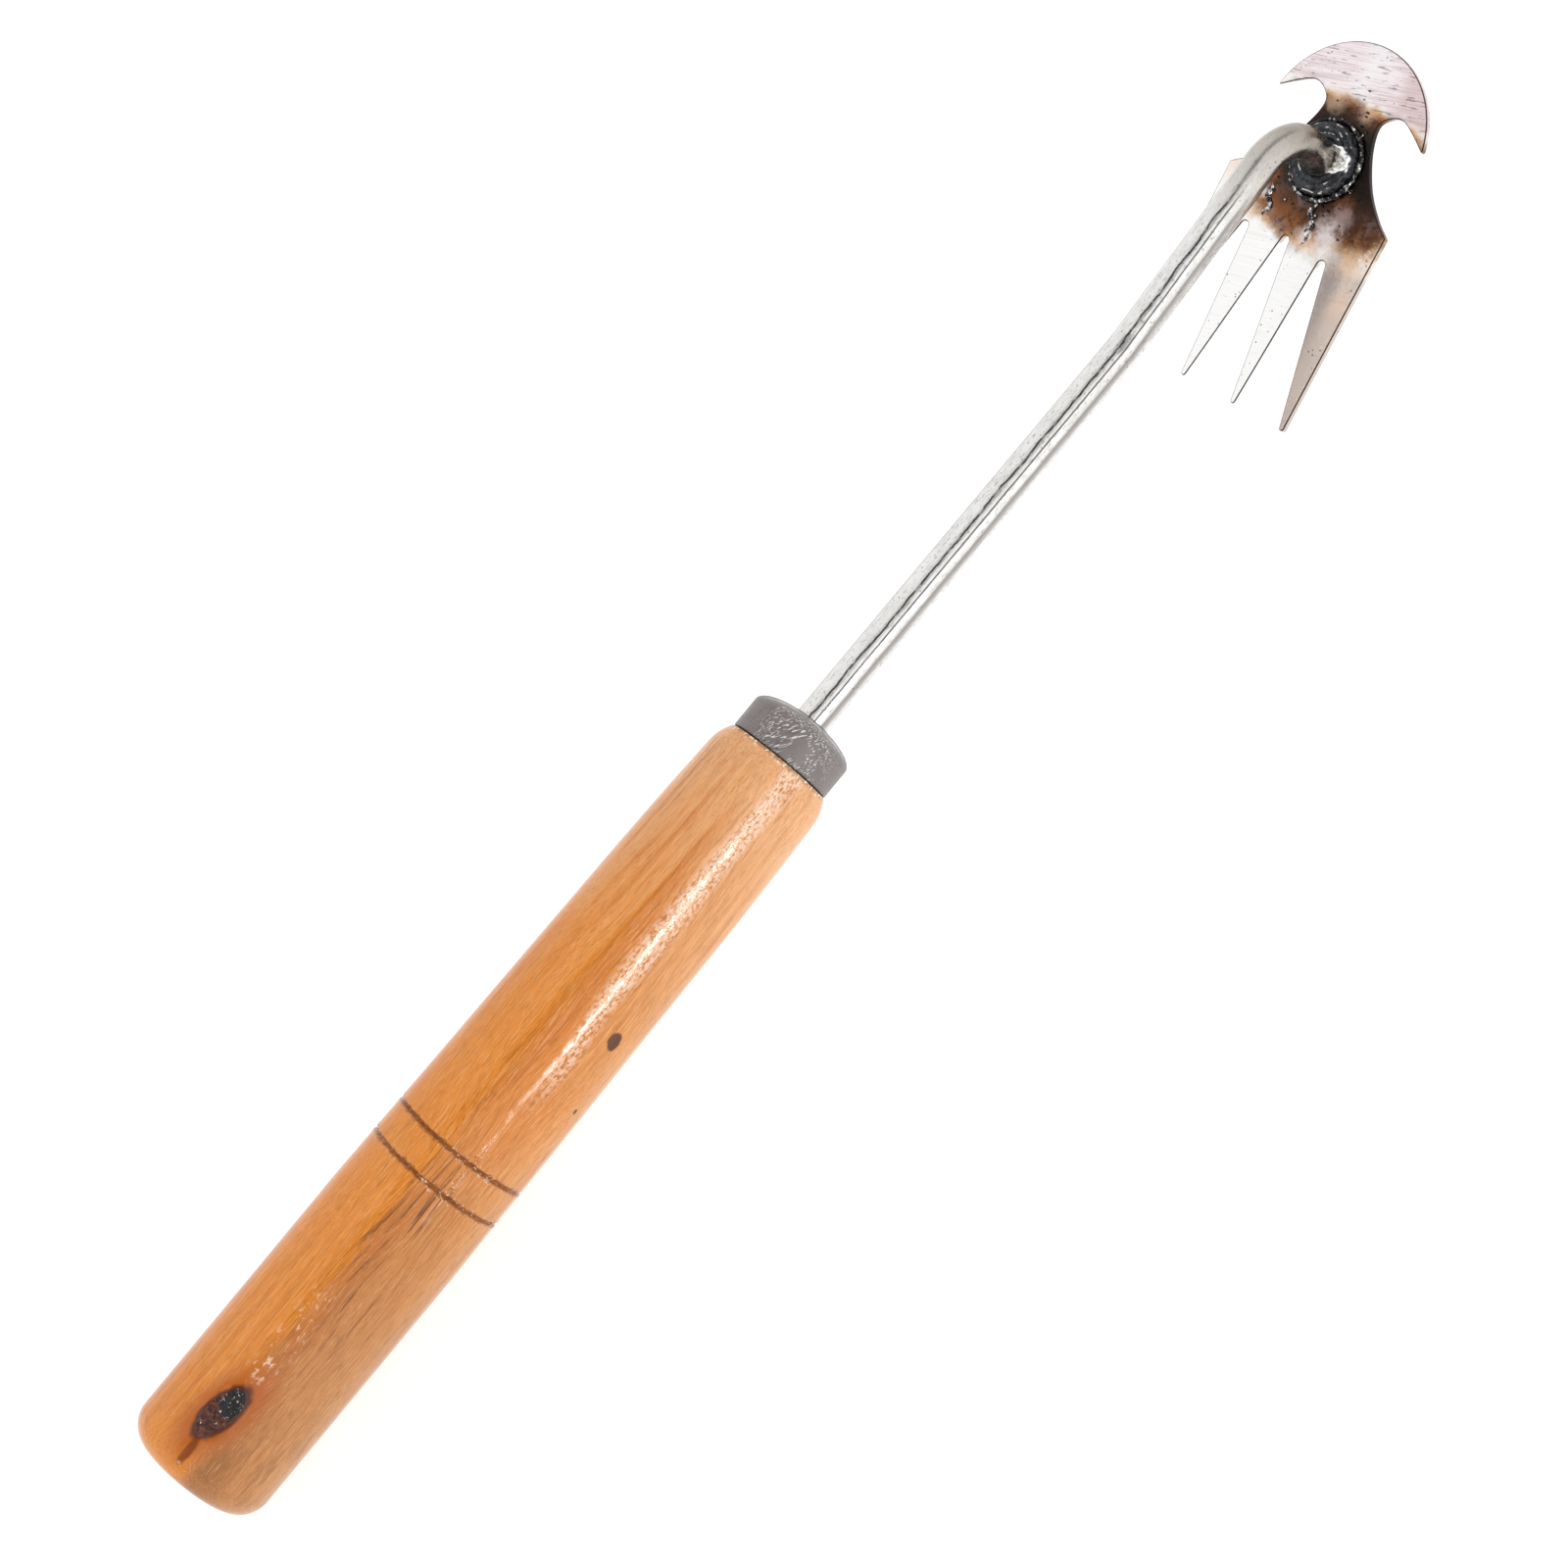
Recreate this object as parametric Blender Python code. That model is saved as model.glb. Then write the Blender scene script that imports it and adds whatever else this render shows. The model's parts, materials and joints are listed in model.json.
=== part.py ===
"""Hand weeder: turned wooden handle, ferrule, bent round steel rod and a welded claw blade.

The tool is modelled on its own axes: +X runs from the butt along the handle to the blade, and Z is up
in the plane of the rod's bends. It is then tilted to lie as it does on a table, on the rim of its butt
and the tips of its tines, and centred over the origin.
"""

import math

import bmesh
import bpy
import numpy as np
from mathutils import Matrix, Vector

GAP = 0.0003  # clearance between pieces that touch on the real tool

# Handle, along X; the butt's face lies a little past the origin
HANDLE_RADIUS = 0.01375
BUTT_X = 0.0019
BUTT_ROUNDING = 0.0056
HANDLE_END_X = 0.1638
TAPER_START_X = 0.058
TAPER_SLOPE = 0.0135
CROWN_START_X = 0.130
CROWN_CURVE = 0.49
SHOULDER_START_X = 0.1590
SHOULDER_END_RADIUS = 0.0105
SHOULDER_STEPS = (0.35, 0.6, 0.8, 1.0)
UPPER_STATIONS_START_X = 0.095
UPPER_STATIONS = 6
GROOVE_XS = (0.0697, 0.0766)
GROOVE_HALF_WIDTH = 0.0006
GROOVE_DEPTH = 0.0007
SPIGOT_RADIUS = 0.0080
SPIGOT_END_X = 0.1694
BORE_RADIUS = 0.0046
BORE_BOTTOM_X = 0.1190

# Ferrule
FERRULE_RADIUS = 0.0103
FERRULE_SIDE_END_X = 0.1700
FERRULE_END_X = 0.1735
FERRULE_INSIDE_TOP_X = 0.1697
FERRULE_DOME_DEGREES = (0, 12, 26, 40, 54, 68)

# Rod: its route is straight runs and arcs, and a positive turn is upwards
ROD_RADIUS = 0.00325
TANG_TIP_X = 0.1225
TANG_POINT_LENGTH = 0.0035
TANG_POINT_RADIUS = 0.0010
FERRULE_EXIT_X = 0.1740
DROOP_ANGLE = math.radians(-0.4)
DROOP_BEND_RADIUS = 0.150
LOWER_RUN = 0.0841
KINK_ANGLE = math.radians(5.6)
KINK_RADIUS = 0.045
UPPER_RUN = 0.0382
BEND_ANGLE = math.radians(-84.7)
BEND_RADIUS = 0.0093
END_RUN = 0.0045

# Blade: its own X runs from the rod's end to the tine tips, and its Z is square to the plate
BLADE_SLOPE = math.radians(20.5)
BLADE_THICKNESS = 0.0013
ROD_END_HEIGHT = 0.0025
CRESCENT_TOP_X = -0.0226
CRESCENT_RADIUS = 0.0182
HORN_ANGLE = math.radians(75.5)
CORNER_X = 0.0077
HALF_WIDTH = 0.0194
TIP_X = 0.0466
TIP_RADIUS = 0.00055
TINE_TIP_YS = (0.0188, 0.0064)
NOTCH_RADIUS = 0.0009
OUTER_NOTCH = (0.0171, 0.0097)
MIDDLE_NOTCH_X = 0.0161
# From a horn's tip, round the hook, past the narrow neck and out to the corner
HOOK_POINTS = (
    (-0.0086, 0.0174),
    (-0.0109, 0.0137),
    (-0.0122, 0.0106),
    (-0.0112, 0.0078),
    (-0.0090, 0.0065),
    (-0.0044, 0.0079),
    (0.0012, 0.0115),
    (0.0052, 0.0157),
    (CORNER_X, HALF_WIDTH),
)

# Welds
PAD_RADIUS = 0.0068
PAD_EDGE = 0.0008
PAD_BEAD_RADIUS = 0.00055
ROD_BEAD_WIDTH = 0.0018
ROD_BEAD_HEIGHT = 0.0015
CENTRE_RUN_POINTS = (
    (0.0095, 0.0026),
    (0.0112, 0.0035),
    (0.0130, 0.0039),
    (0.0148, 0.0039),
    (0.0166, 0.0033),
)
CENTRE_RUN_RADII = (0.0006, 0.0010, 0.0009, 0.0007, 0.0004)
SIDE_RUN_POINTS = ((0.0086, -0.0081), (0.0103, -0.0078), (0.0115, -0.0068), (0.0133, -0.0071))
SIDE_RUN_RADII = (0.0005, 0.0009, 0.0008, 0.0004)
RUN_FLATNESS = 0.6

# Facets round each piece
HANDLE_SIDES = 48
FERRULE_SIDES = 48
ROD_SIDES = 20
SLEEVE_SIDES = 20
PAD_SIDES = 36
BEAD_SIDES = 10


def clear_scene():
    for item in list(bpy.data.objects):
        bpy.data.objects.remove(item)


def material(name, colour, roughness, metallic):
    made = bpy.data.materials.new(name)
    made.use_nodes = True
    shader = made.node_tree.nodes["Principled BSDF"]
    shader.inputs["Base Color"].default_value = (*colour, 1.0)
    shader.inputs["Roughness"].default_value = roughness
    shader.inputs["Metallic"].default_value = metallic
    return made


def add_piece(name, bm, finish, parent):
    """A named object from a bmesh, with its faces out, its material and its parent."""
    bmesh.ops.recalc_face_normals(bm, faces=bm.faces)
    mesh = bpy.data.meshes.new(name)
    bm.to_mesh(mesh)
    bm.free()
    mesh.materials.append(finish)
    mesh.shade_smooth()
    mesh.set_sharp_from_angle(angle=math.radians(35))
    piece = bpy.data.objects.new(name, mesh)
    piece.parent = parent
    bpy.context.scene.collection.objects.link(piece)
    return piece


def add_empty(name, parent=None):
    empty = bpy.data.objects.new(name, None)
    empty.parent = parent
    bpy.context.scene.collection.objects.link(empty)
    return empty


def arc(centre, radius, start, end, steps):
    """Points on an arc about centre, both ends included; angles are from the first axis."""
    return [
        (centre[0] + radius * math.cos(a), centre[1] + radius * math.sin(a))
        for a in np.linspace(start, end, steps + 1)
    ]


def smooth_through(points, steps):
    """A Catmull-Rom curve through the points, with steps pieces between each pair."""
    given = [Vector(p) for p in points]
    padded = [2 * given[0] - given[1], *given, 2 * given[-1] - given[-2]]
    curve = []
    for before, a, b, after in zip(padded, padded[1:], padded[2:], padded[3:]):
        for step in range(steps):
            t = step / steps
            curve.append(
                0.5
                * (
                    2 * a
                    + (b - before) * t
                    + (2 * before - 5 * a + 4 * b - after) * t**2
                    + (3 * a - before - 3 * b + after) * t**3
                )
            )
    return [*curve, given[-1]]


def loft(rings, looped=False):
    """Skins rings of points in order; the end rings are capped unless the last joins the first."""
    bm = bmesh.new()
    loops = [[bm.verts.new(point) for point in ring] for ring in rings]
    pairs = list(zip(loops, loops[1:]))
    if looped:
        pairs.append((loops[-1], loops[0]))
    for first, second in pairs:
        count = len(first)
        for i in range(count):
            j = (i + 1) % count
            bm.faces.new((first[i], first[j], second[j], second[i]))
    if not looped:
        bm.faces.new(loops[0])
        bm.faces.new(loops[-1])
    return bm


def turned(profile, sides, axis="X", looped=False):
    """A body turned about one axis from (along, radius) points."""
    rings = []
    for along, radius in profile:
        ring = []
        for angle in np.linspace(0, 2 * math.pi, sides, endpoint=False):
            across, up = radius * math.cos(angle), radius * math.sin(angle)
            ring.append((along, across, up) if axis == "X" else (across, up, along))
        rings.append(ring)
    return loft(rings, looped)


def handle_radius(x):
    """The handle is straight at the butt, tapers evenly, then crowns in towards the ferrule."""
    taper = TAPER_SLOPE * max(0.0, x - TAPER_START_X)
    crown = CROWN_CURVE * max(0.0, x - CROWN_START_X) ** 2
    return HANDLE_RADIUS - taper - crown


def handle_profile():
    corner = (BUTT_X + BUTT_ROUNDING, HANDLE_RADIUS - BUTT_ROUNDING)
    profile = [(BUTT_X, HANDLE_RADIUS - BUTT_ROUNDING)]
    profile += arc(corner, BUTT_ROUNDING, math.pi, math.pi / 2, 6)[1:]
    for x in GROOVE_XS:
        profile.append((x - GROOVE_HALF_WIDTH, handle_radius(x)))
        profile.append((x, handle_radius(x) - GROOVE_DEPTH))
        profile.append((x + GROOVE_HALF_WIDTH, handle_radius(x)))
    for x in np.linspace(UPPER_STATIONS_START_X, SHOULDER_START_X, UPPER_STATIONS):
        profile.append((x, handle_radius(x)))
    start_radius = handle_radius(SHOULDER_START_X)
    for t in SHOULDER_STEPS:
        x = SHOULDER_START_X + t * (HANDLE_END_X - SHOULDER_START_X)
        profile.append((x, start_radius - (start_radius - SHOULDER_END_RADIUS) * t**2))
    profile.append((HANDLE_END_X, SPIGOT_RADIUS))
    profile.append((SPIGOT_END_X, SPIGOT_RADIUS))
    profile.append((SPIGOT_END_X, BORE_RADIUS))
    profile.append((BORE_BOTTOM_X, BORE_RADIUS))
    return profile


def add_handle(parent):
    wood = material("varnished_wood", (0.42, 0.17, 0.05), 0.3, 0.0)
    add_piece("handle_grip", turned(handle_profile(), HANDLE_SIDES), wood, parent)


def add_ferrule(parent):
    satin = material("satin_grey_ferrule", (0.30, 0.30, 0.31), 0.4, 0.0)
    start = HANDLE_END_X + GAP
    dome_height = FERRULE_END_X - FERRULE_SIDE_END_X
    hole_radius = ROD_RADIUS + GAP
    profile = [(start, SPIGOT_RADIUS + GAP), (start, FERRULE_RADIUS)]
    for angle in np.radians(FERRULE_DOME_DEGREES):
        x = FERRULE_SIDE_END_X + dome_height * math.sin(angle)
        profile.append((x, FERRULE_RADIUS * math.cos(angle)))
    profile.append((FERRULE_END_X, hole_radius))
    profile.append((FERRULE_INSIDE_TOP_X, hole_radius))
    profile.append((FERRULE_INSIDE_TOP_X, SPIGOT_RADIUS + GAP))
    add_piece("ferrule_cap", turned(profile, FERRULE_SIDES, looped=True), satin, parent)


def add_adhesive(parent):
    resin = material("set_adhesive", (0.55, 0.45, 0.25), 0.5, 0.0)
    start = TANG_TIP_X + TANG_POINT_LENGTH
    end = SPIGOT_END_X - GAP
    inner, outer = ROD_RADIUS + GAP, BORE_RADIUS - GAP
    profile = [(start, inner), (start, outer), (end, outer), (end, inner)]
    add_piece("tang_adhesive", turned(profile, SLEEVE_SIDES, looped=True), resin, parent)


def rod_route():
    """Stations (x, z, heading, radius) along the rod's middle, from the tang's point to its end."""
    x, z, heading = TANG_TIP_X, 0.0, 0.0
    stations = [(x, z, heading, TANG_POINT_RADIUS)]

    def run(length):
        nonlocal x, z
        x += length * math.cos(heading)
        z += length * math.sin(heading)
        stations.append((x, z, heading, ROD_RADIUS))

    def bend(angle, radius, steps):
        nonlocal x, z, heading
        chord = 2 * radius * math.sin(abs(angle) / steps / 2)
        for _ in range(steps):
            heading += angle / steps / 2
            x += chord * math.cos(heading)
            z += chord * math.sin(heading)
            heading += angle / steps / 2
            stations.append((x, z, heading, ROD_RADIUS))

    run(TANG_POINT_LENGTH)
    run(FERRULE_EXIT_X - x)
    bend(DROOP_ANGLE, DROOP_BEND_RADIUS, 1)
    run(LOWER_RUN)
    bend(KINK_ANGLE, KINK_RADIUS, 4)
    run(UPPER_RUN)
    bend(BEND_ANGLE, BEND_RADIUS, 14)
    run(END_RUN)
    return stations


def ring_about(centre, along, radius, sides):
    """A circle of points square to a direction in the XZ plane."""
    up = Vector((-along.z, 0.0, along.x))
    side = Vector((0.0, 1.0, 0.0))
    return [
        centre + radius * (side * math.cos(angle) + up * math.sin(angle))
        for angle in np.linspace(0, 2 * math.pi, sides, endpoint=False)
    ]


def blade_axes_matrix():
    """Blade axes in tool axes: X to the tine tips, Z square to the plate, origin on its top face."""
    x, z, _, _ = rod_route()[-1]
    turn = Matrix.Rotation(-BLADE_SLOPE, 4, "Y") @ Matrix.Rotation(math.pi, 4, "Z")
    face_normal = turn.to_3x3() @ Vector((0.0, 0.0, 1.0))
    return Matrix.Translation(Vector((x, 0.0, z)) - ROD_END_HEIGHT * face_normal) @ turn


def add_rod(parent):
    steel = material("galvanised_rod", (0.55, 0.55, 0.54), 0.3, 1.0)
    rings = []
    for x, z, heading, radius in rod_route():
        along = Vector((math.cos(heading), 0.0, math.sin(heading)))
        rings.append(ring_about(Vector((x, 0.0, z)), along, radius, ROD_SIDES))
    # The last ring slides along the rod until it lies parallel to the plate
    blade = blade_axes_matrix()
    normal = blade.to_3x3() @ Vector((0.0, 0.0, 1.0))
    foot = blade.translation + ROD_END_HEIGHT * normal
    rings[-1] = [point + along * ((foot - point).dot(normal) / along.dot(normal)) for point in rings[-1]]
    add_piece("shank_rod", loft(rings), steel, parent)


def half_outline():
    """Right half of the blade, from the crescent's top to the bottom of the middle notch."""
    centre = (CRESCENT_TOP_X + CRESCENT_RADIUS, 0.0)
    points = arc(centre, CRESCENT_RADIUS, math.pi, math.pi - HORN_ANGLE, 26)
    points += [tuple(point) for point in smooth_through(HOOK_POINTS, 5)]
    outer_y, inner_y = TINE_TIP_YS
    outer_tip = (TIP_X - TIP_RADIUS, outer_y)
    inner_tip = (TIP_X - TIP_RADIUS, inner_y)
    middle = (MIDDLE_NOTCH_X, 0.0)
    quarter = math.pi / 2
    points += arc(outer_tip, TIP_RADIUS, quarter, -quarter, 6)
    points += arc(OUTER_NOTCH, NOTCH_RADIUS, quarter, 3 * quarter, 8)
    points += arc(inner_tip, TIP_RADIUS, quarter, -quarter, 6)
    points += arc(middle, NOTCH_RADIUS, quarter, 2 * quarter, 4)
    return points


def add_blade(parent):
    stainless = material("tinted_stainless", (0.62, 0.56, 0.54), 0.25, 1.0)
    right = half_outline()
    left = [(x, -y) for x, y in reversed(right[1:-1])]
    outline = right + left
    rings = [[(x, y, z) for x, y in outline] for z in (-BLADE_THICKNESS, 0.0)]
    add_piece("claw_blade", loft(rings), stainless, parent)


def add_pad(parent):
    black = material("blackened_weld_pad", (0.05, 0.05, 0.055), 0.4, 0.9)
    top = ROD_END_HEIGHT - GAP
    edge = (PAD_RADIUS - PAD_EDGE, top - PAD_EDGE)
    rounded = [(z, r) for r, z in arc(edge, PAD_EDGE, 0.0, math.pi / 2, 4)]
    profile = [(GAP, PAD_RADIUS), *rounded]
    add_piece("weld_pad", turned(profile, PAD_SIDES, axis="Z"), black, parent)


def add_rod_weld(parent):
    """The fillet stands on the pad, clear of the rod, which leans a little over its height."""
    bead = material("bright_weld_bead", (0.45, 0.44, 0.43), 0.25, 1.0)
    lean = ROD_BEAD_HEIGHT * math.tan(abs(BEND_ANGLE + KINK_ANGLE + DROOP_ANGLE) + BLADE_SLOPE - math.pi / 2)
    inner = ROD_RADIUS + lean + GAP
    corner = (ROD_END_HEIGHT, inner)
    fillet = [
        (corner[0] + ROD_BEAD_HEIGHT * math.sin(a), corner[1] + ROD_BEAD_WIDTH * math.cos(a))
        for a in np.linspace(0, math.pi / 2, 5)
    ]
    profile = [corner, *fillet]
    add_piece("rod_weld", turned(profile, PAD_SIDES, axis="Z", looped=True), bead, parent)


def add_pad_weld(parent):
    bead = material("dark_weld_bead", (0.16, 0.14, 0.14), 0.3, 1.0)
    middle = (GAP + PAD_BEAD_RADIUS, PAD_RADIUS + GAP + PAD_BEAD_RADIUS)
    profile = arc(middle, PAD_BEAD_RADIUS, 0.0, 2 * math.pi, 8)[:-1]
    add_piece("pad_weld", turned(profile, PAD_SIDES, axis="Z", looped=True), bead, parent)


def add_weld_run(name, points, radii, parent):
    """A low bead of weld metal along a short line on the plate, thin at both ends."""
    bead = material(name, (0.22, 0.18, 0.17), 0.3, 1.0)
    rings = []
    for i, (centre, radius) in enumerate(zip(points, radii)):
        before, after = Vector(points[max(i - 1, 0)]), Vector(points[min(i + 1, len(points) - 1)])
        along = (after - before).normalized()
        side = Vector((-along.y, along.x, 0.0))
        height = RUN_FLATNESS * radius
        middle = Vector((*centre, GAP + RUN_FLATNESS * max(radii)))
        ring = []
        for a in np.linspace(0, 2 * math.pi, BEAD_SIDES, endpoint=False):
            ring.append(middle + side * radius * math.cos(a) + Vector((0.0, 0.0, height * math.sin(a))))
        rings.append(ring)
    add_piece(name, loft(rings), bead, parent)


def world_points(pieces):
    bpy.context.view_layer.update()
    return np.array([piece.matrix_world @ v.co for piece in pieces for v in piece.data.vertices])


def lay_down(tool):
    """Tilts the tool onto its butt and its tine tips, then centres it over the origin."""
    pieces = [item for item in bpy.data.objects if item.type == "MESH"]
    handle, blade = bpy.data.objects["handle_grip"], bpy.data.objects["claw_blade"]
    low, high = 0.0, math.radians(10)
    while high - low > 1e-7:
        tilt = (low + high) / 2
        tool.rotation_euler.y = -tilt
        if world_points([blade])[:, 2].min() < world_points([handle])[:, 2].min():
            low = tilt
        else:
            high = tilt
    points = world_points(pieces)
    lowest, highest = points.min(axis=0), points.max(axis=0)
    middle = (lowest + highest) / 2
    tool.location = (-middle[0], -middle[1], -lowest[2])


def main():
    clear_scene()
    tool = add_empty("tool_axes")
    blade_axes = add_empty("blade_axes", tool)
    blade_axes.matrix_local = blade_axes_matrix()
    add_handle(tool)
    add_ferrule(tool)
    add_adhesive(tool)
    add_rod(tool)
    add_blade(blade_axes)
    add_pad(blade_axes)
    add_rod_weld(blade_axes)
    add_pad_weld(blade_axes)
    add_weld_run("centre_weld_run", CENTRE_RUN_POINTS, CENTRE_RUN_RADII, blade_axes)
    add_weld_run("side_weld_run", SIDE_RUN_POINTS, SIDE_RUN_RADII, blade_axes)
    lay_down(tool)


main()
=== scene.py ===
"""Looks of the hand weeder: varnished wood, satin ferrule, drawn steel rod, welds and heat-tinted blade.

Shapes are built on the tool's own axes (X from the butt towards the blade, Z up in the plane of the rod's
bends) or on the blade's axes (X from the rod's end to the tine tips, Z square to the plate). Pieces and
materials both use millimetres on these axes.
"""

import json
import math
from functools import reduce
from types import SimpleNamespace

import bmesh
import bpy
import numpy as np
from mathutils import Matrix, Vector, geometry, noise


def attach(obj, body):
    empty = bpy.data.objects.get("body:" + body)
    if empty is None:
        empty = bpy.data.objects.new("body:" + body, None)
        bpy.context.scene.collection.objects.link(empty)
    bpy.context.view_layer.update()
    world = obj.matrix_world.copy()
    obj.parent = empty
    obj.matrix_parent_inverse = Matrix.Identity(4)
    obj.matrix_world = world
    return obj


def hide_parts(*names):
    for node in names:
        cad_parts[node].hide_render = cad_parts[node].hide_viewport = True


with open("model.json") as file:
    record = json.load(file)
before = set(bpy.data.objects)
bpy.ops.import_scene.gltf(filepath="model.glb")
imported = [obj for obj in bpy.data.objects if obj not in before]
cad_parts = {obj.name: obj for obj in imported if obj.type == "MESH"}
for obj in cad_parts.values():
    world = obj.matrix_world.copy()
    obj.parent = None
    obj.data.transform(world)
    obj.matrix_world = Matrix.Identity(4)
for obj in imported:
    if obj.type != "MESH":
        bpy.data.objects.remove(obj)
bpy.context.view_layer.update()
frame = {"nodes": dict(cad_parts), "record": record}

MM = 0.001

# ---------------------------------------------------------------- sizes shared with the CAD parts
HANDLE_RADIUS = 13.75
BUTT = 1.9
HANDLE_END = 163.8
BUTT_ROUNDING = 5.6
SHOULDER_START = 159.0
SHOULDER_END_RADIUS = 10.5
GROOVES = (69.7, 76.6)
SPIGOT_RADIUS = 8.0
SPIGOT_END = 169.4
BORE_RADIUS = 4.6
BORE_BOTTOM = 119.0
FERRULE_RADIUS = 10.3
FERRULE_START = 164.1
FERRULE_SIDE_END = 170.0
FERRULE_END = 173.5
FERRULE_INSIDE_TOP = 169.7
FERRULE_EXIT = 174.0
ROD_RADIUS = 3.25
TANG_TIP = 122.5
TANG_TIP_RADIUS = 1.0
TANG_POINT_LENGTH = 3.5
BLADE_THICKNESS = 1.3
ROD_END_HEIGHT = 2.5
PAD_RADIUS = 6.8


# ---------------------------------------------------------------- axes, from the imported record
def mount(name):
    found = next(m for m in frame["record"]["mounts"] if m["name"] == name)
    return Vector(found["pos_m"]), Vector(found["axis"]).normalized()


def axes_matrix(origin, x_axis, z_axis):
    y_axis = z_axis.cross(x_axis)
    turn = Matrix((x_axis, y_axis, z_axis)).transposed()
    return Matrix.Translation(origin) @ turn.to_4x4()


def tool_and_blade_axes():
    """The butt's face gives the tool's axis, and the plate's back face gives the blade's axes."""
    butt, butt_out = mount("butt_face")
    along = -butt_out
    side = Vector((0.0, 1.0, 0.0))
    tool = axes_matrix(butt - BUTT * MM * along, along, along.cross(side))
    back, back_out = mount("blade_back")
    normal = -back_out
    to_tips = side.cross(-normal)
    back_point_x = 4 * MM
    origin = back - back_point_x * to_tips + BLADE_THICKNESS * MM * normal
    return tool, axes_matrix(origin, to_tips, normal)


TOOL, BLADE = tool_and_blade_axes()


# ---------------------------------------------------------------- small mesh tools
def finish_piece(name, bm, matrix, finish, replaced=(), smooth_angle=40):
    """Turns a bmesh in millimetres into a placed, shaded piece that rides on the tool."""
    bmesh.ops.recalc_face_normals(bm, faces=bm.faces)
    bmesh.ops.scale(bm, vec=(MM, MM, MM), verts=bm.verts)
    mesh = bpy.data.meshes.new(name)
    bm.to_mesh(mesh)
    bm.free()
    mesh.materials.append(finish)
    mesh.shade_smooth()
    mesh.set_sharp_from_angle(angle=math.radians(smooth_angle))
    piece = bpy.data.objects.new(name, mesh)
    bpy.context.scene.collection.objects.link(piece)
    piece.matrix_world = matrix
    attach(piece, "root")
    if replaced:
        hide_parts(*replaced)
    return piece


def loft(rings, looped=False):
    """Skins rings of points in order; the end rings are capped unless the last joins the first."""
    bm = bmesh.new()
    loops = [[bm.verts.new(point) for point in ring] for ring in rings]
    pairs = list(zip(loops, loops[1:]))
    if looped:
        pairs.append((loops[-1], loops[0]))
    for first, second in pairs:
        count = len(first)
        for i in range(count):
            j = (i + 1) % count
            bm.faces.new((first[i], first[j], second[j], second[i]))
    if not looped:
        bm.faces.new(loops[0])
        bm.faces.new(loops[-1])
    return bm


def arc(centre, radius, start, end, steps):
    """Points on an arc about centre, both ends included; angles are from the first axis."""
    return [
        (centre[0] + radius * math.cos(a), centre[1] + radius * math.sin(a))
        for a in np.linspace(start, end, steps + 1)
    ]


def smooth_through(points, steps):
    """A Catmull-Rom curve through the points, with steps pieces between each pair."""
    given = [Vector(p) for p in points]
    padded = [2 * given[0] - given[1], *given, 2 * given[-1] - given[-2]]
    curve = []
    for before, a, b, after in zip(padded, padded[1:], padded[2:], padded[3:]):
        square = 2 * before - 5 * a + 4 * b - after
        cube = 3 * a - before - 3 * b + after
        for step in range(steps):
            t = step / steps
            curve.append(0.5 * (2 * a + (b - before) * t + square * t**2 + cube * t**3))
    return [*curve, given[-1]]


def turned(stations, sides, spot):
    """A ring for each station: spot(station, degrees), evenly spaced round the turn."""
    return [[spot(station, 360 * step / sides) for step in range(sides)] for station in stations]


def section(sides, spot):
    """A closed section: spot(cosine, sine) at evenly spaced angles."""
    angles = [2 * math.pi * k / sides for k in range(sides)]
    return [spot(math.cos(a), math.sin(a)) for a in angles]


def bump(distance, width):
    """A smooth hill of height 1 that reaches zero at width."""
    t = min(1.0, abs(distance) / width)
    return (1 - t * t) ** 2


def angle_gap(a, b):
    return abs((a - b + 180) % 360 - 180)


def wobble(point, scale, seed=0.0):
    """Smooth noise from -1 to 1."""
    return noise.noise(Vector(point) * scale + Vector((seed, 2.3 * seed, -seed)))


# ---------------------------------------------------------------- shader node helper
def add_node(tree, kind, **settings):
    made = tree.nodes.new(kind)
    for key, value in settings.items():
        setattr(made, key, value)
    return made


def fill_ramp(ramp, stops):
    """Sets a ramp node's stops from pairs of place and colour."""
    elements = ramp.color_ramp.elements
    while len(elements) < len(stops):
        elements.new(0.5)
    for element, (place, colour) in zip(elements, stops):
        element.position = place
        element.color = (*colour, 1.0)


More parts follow.
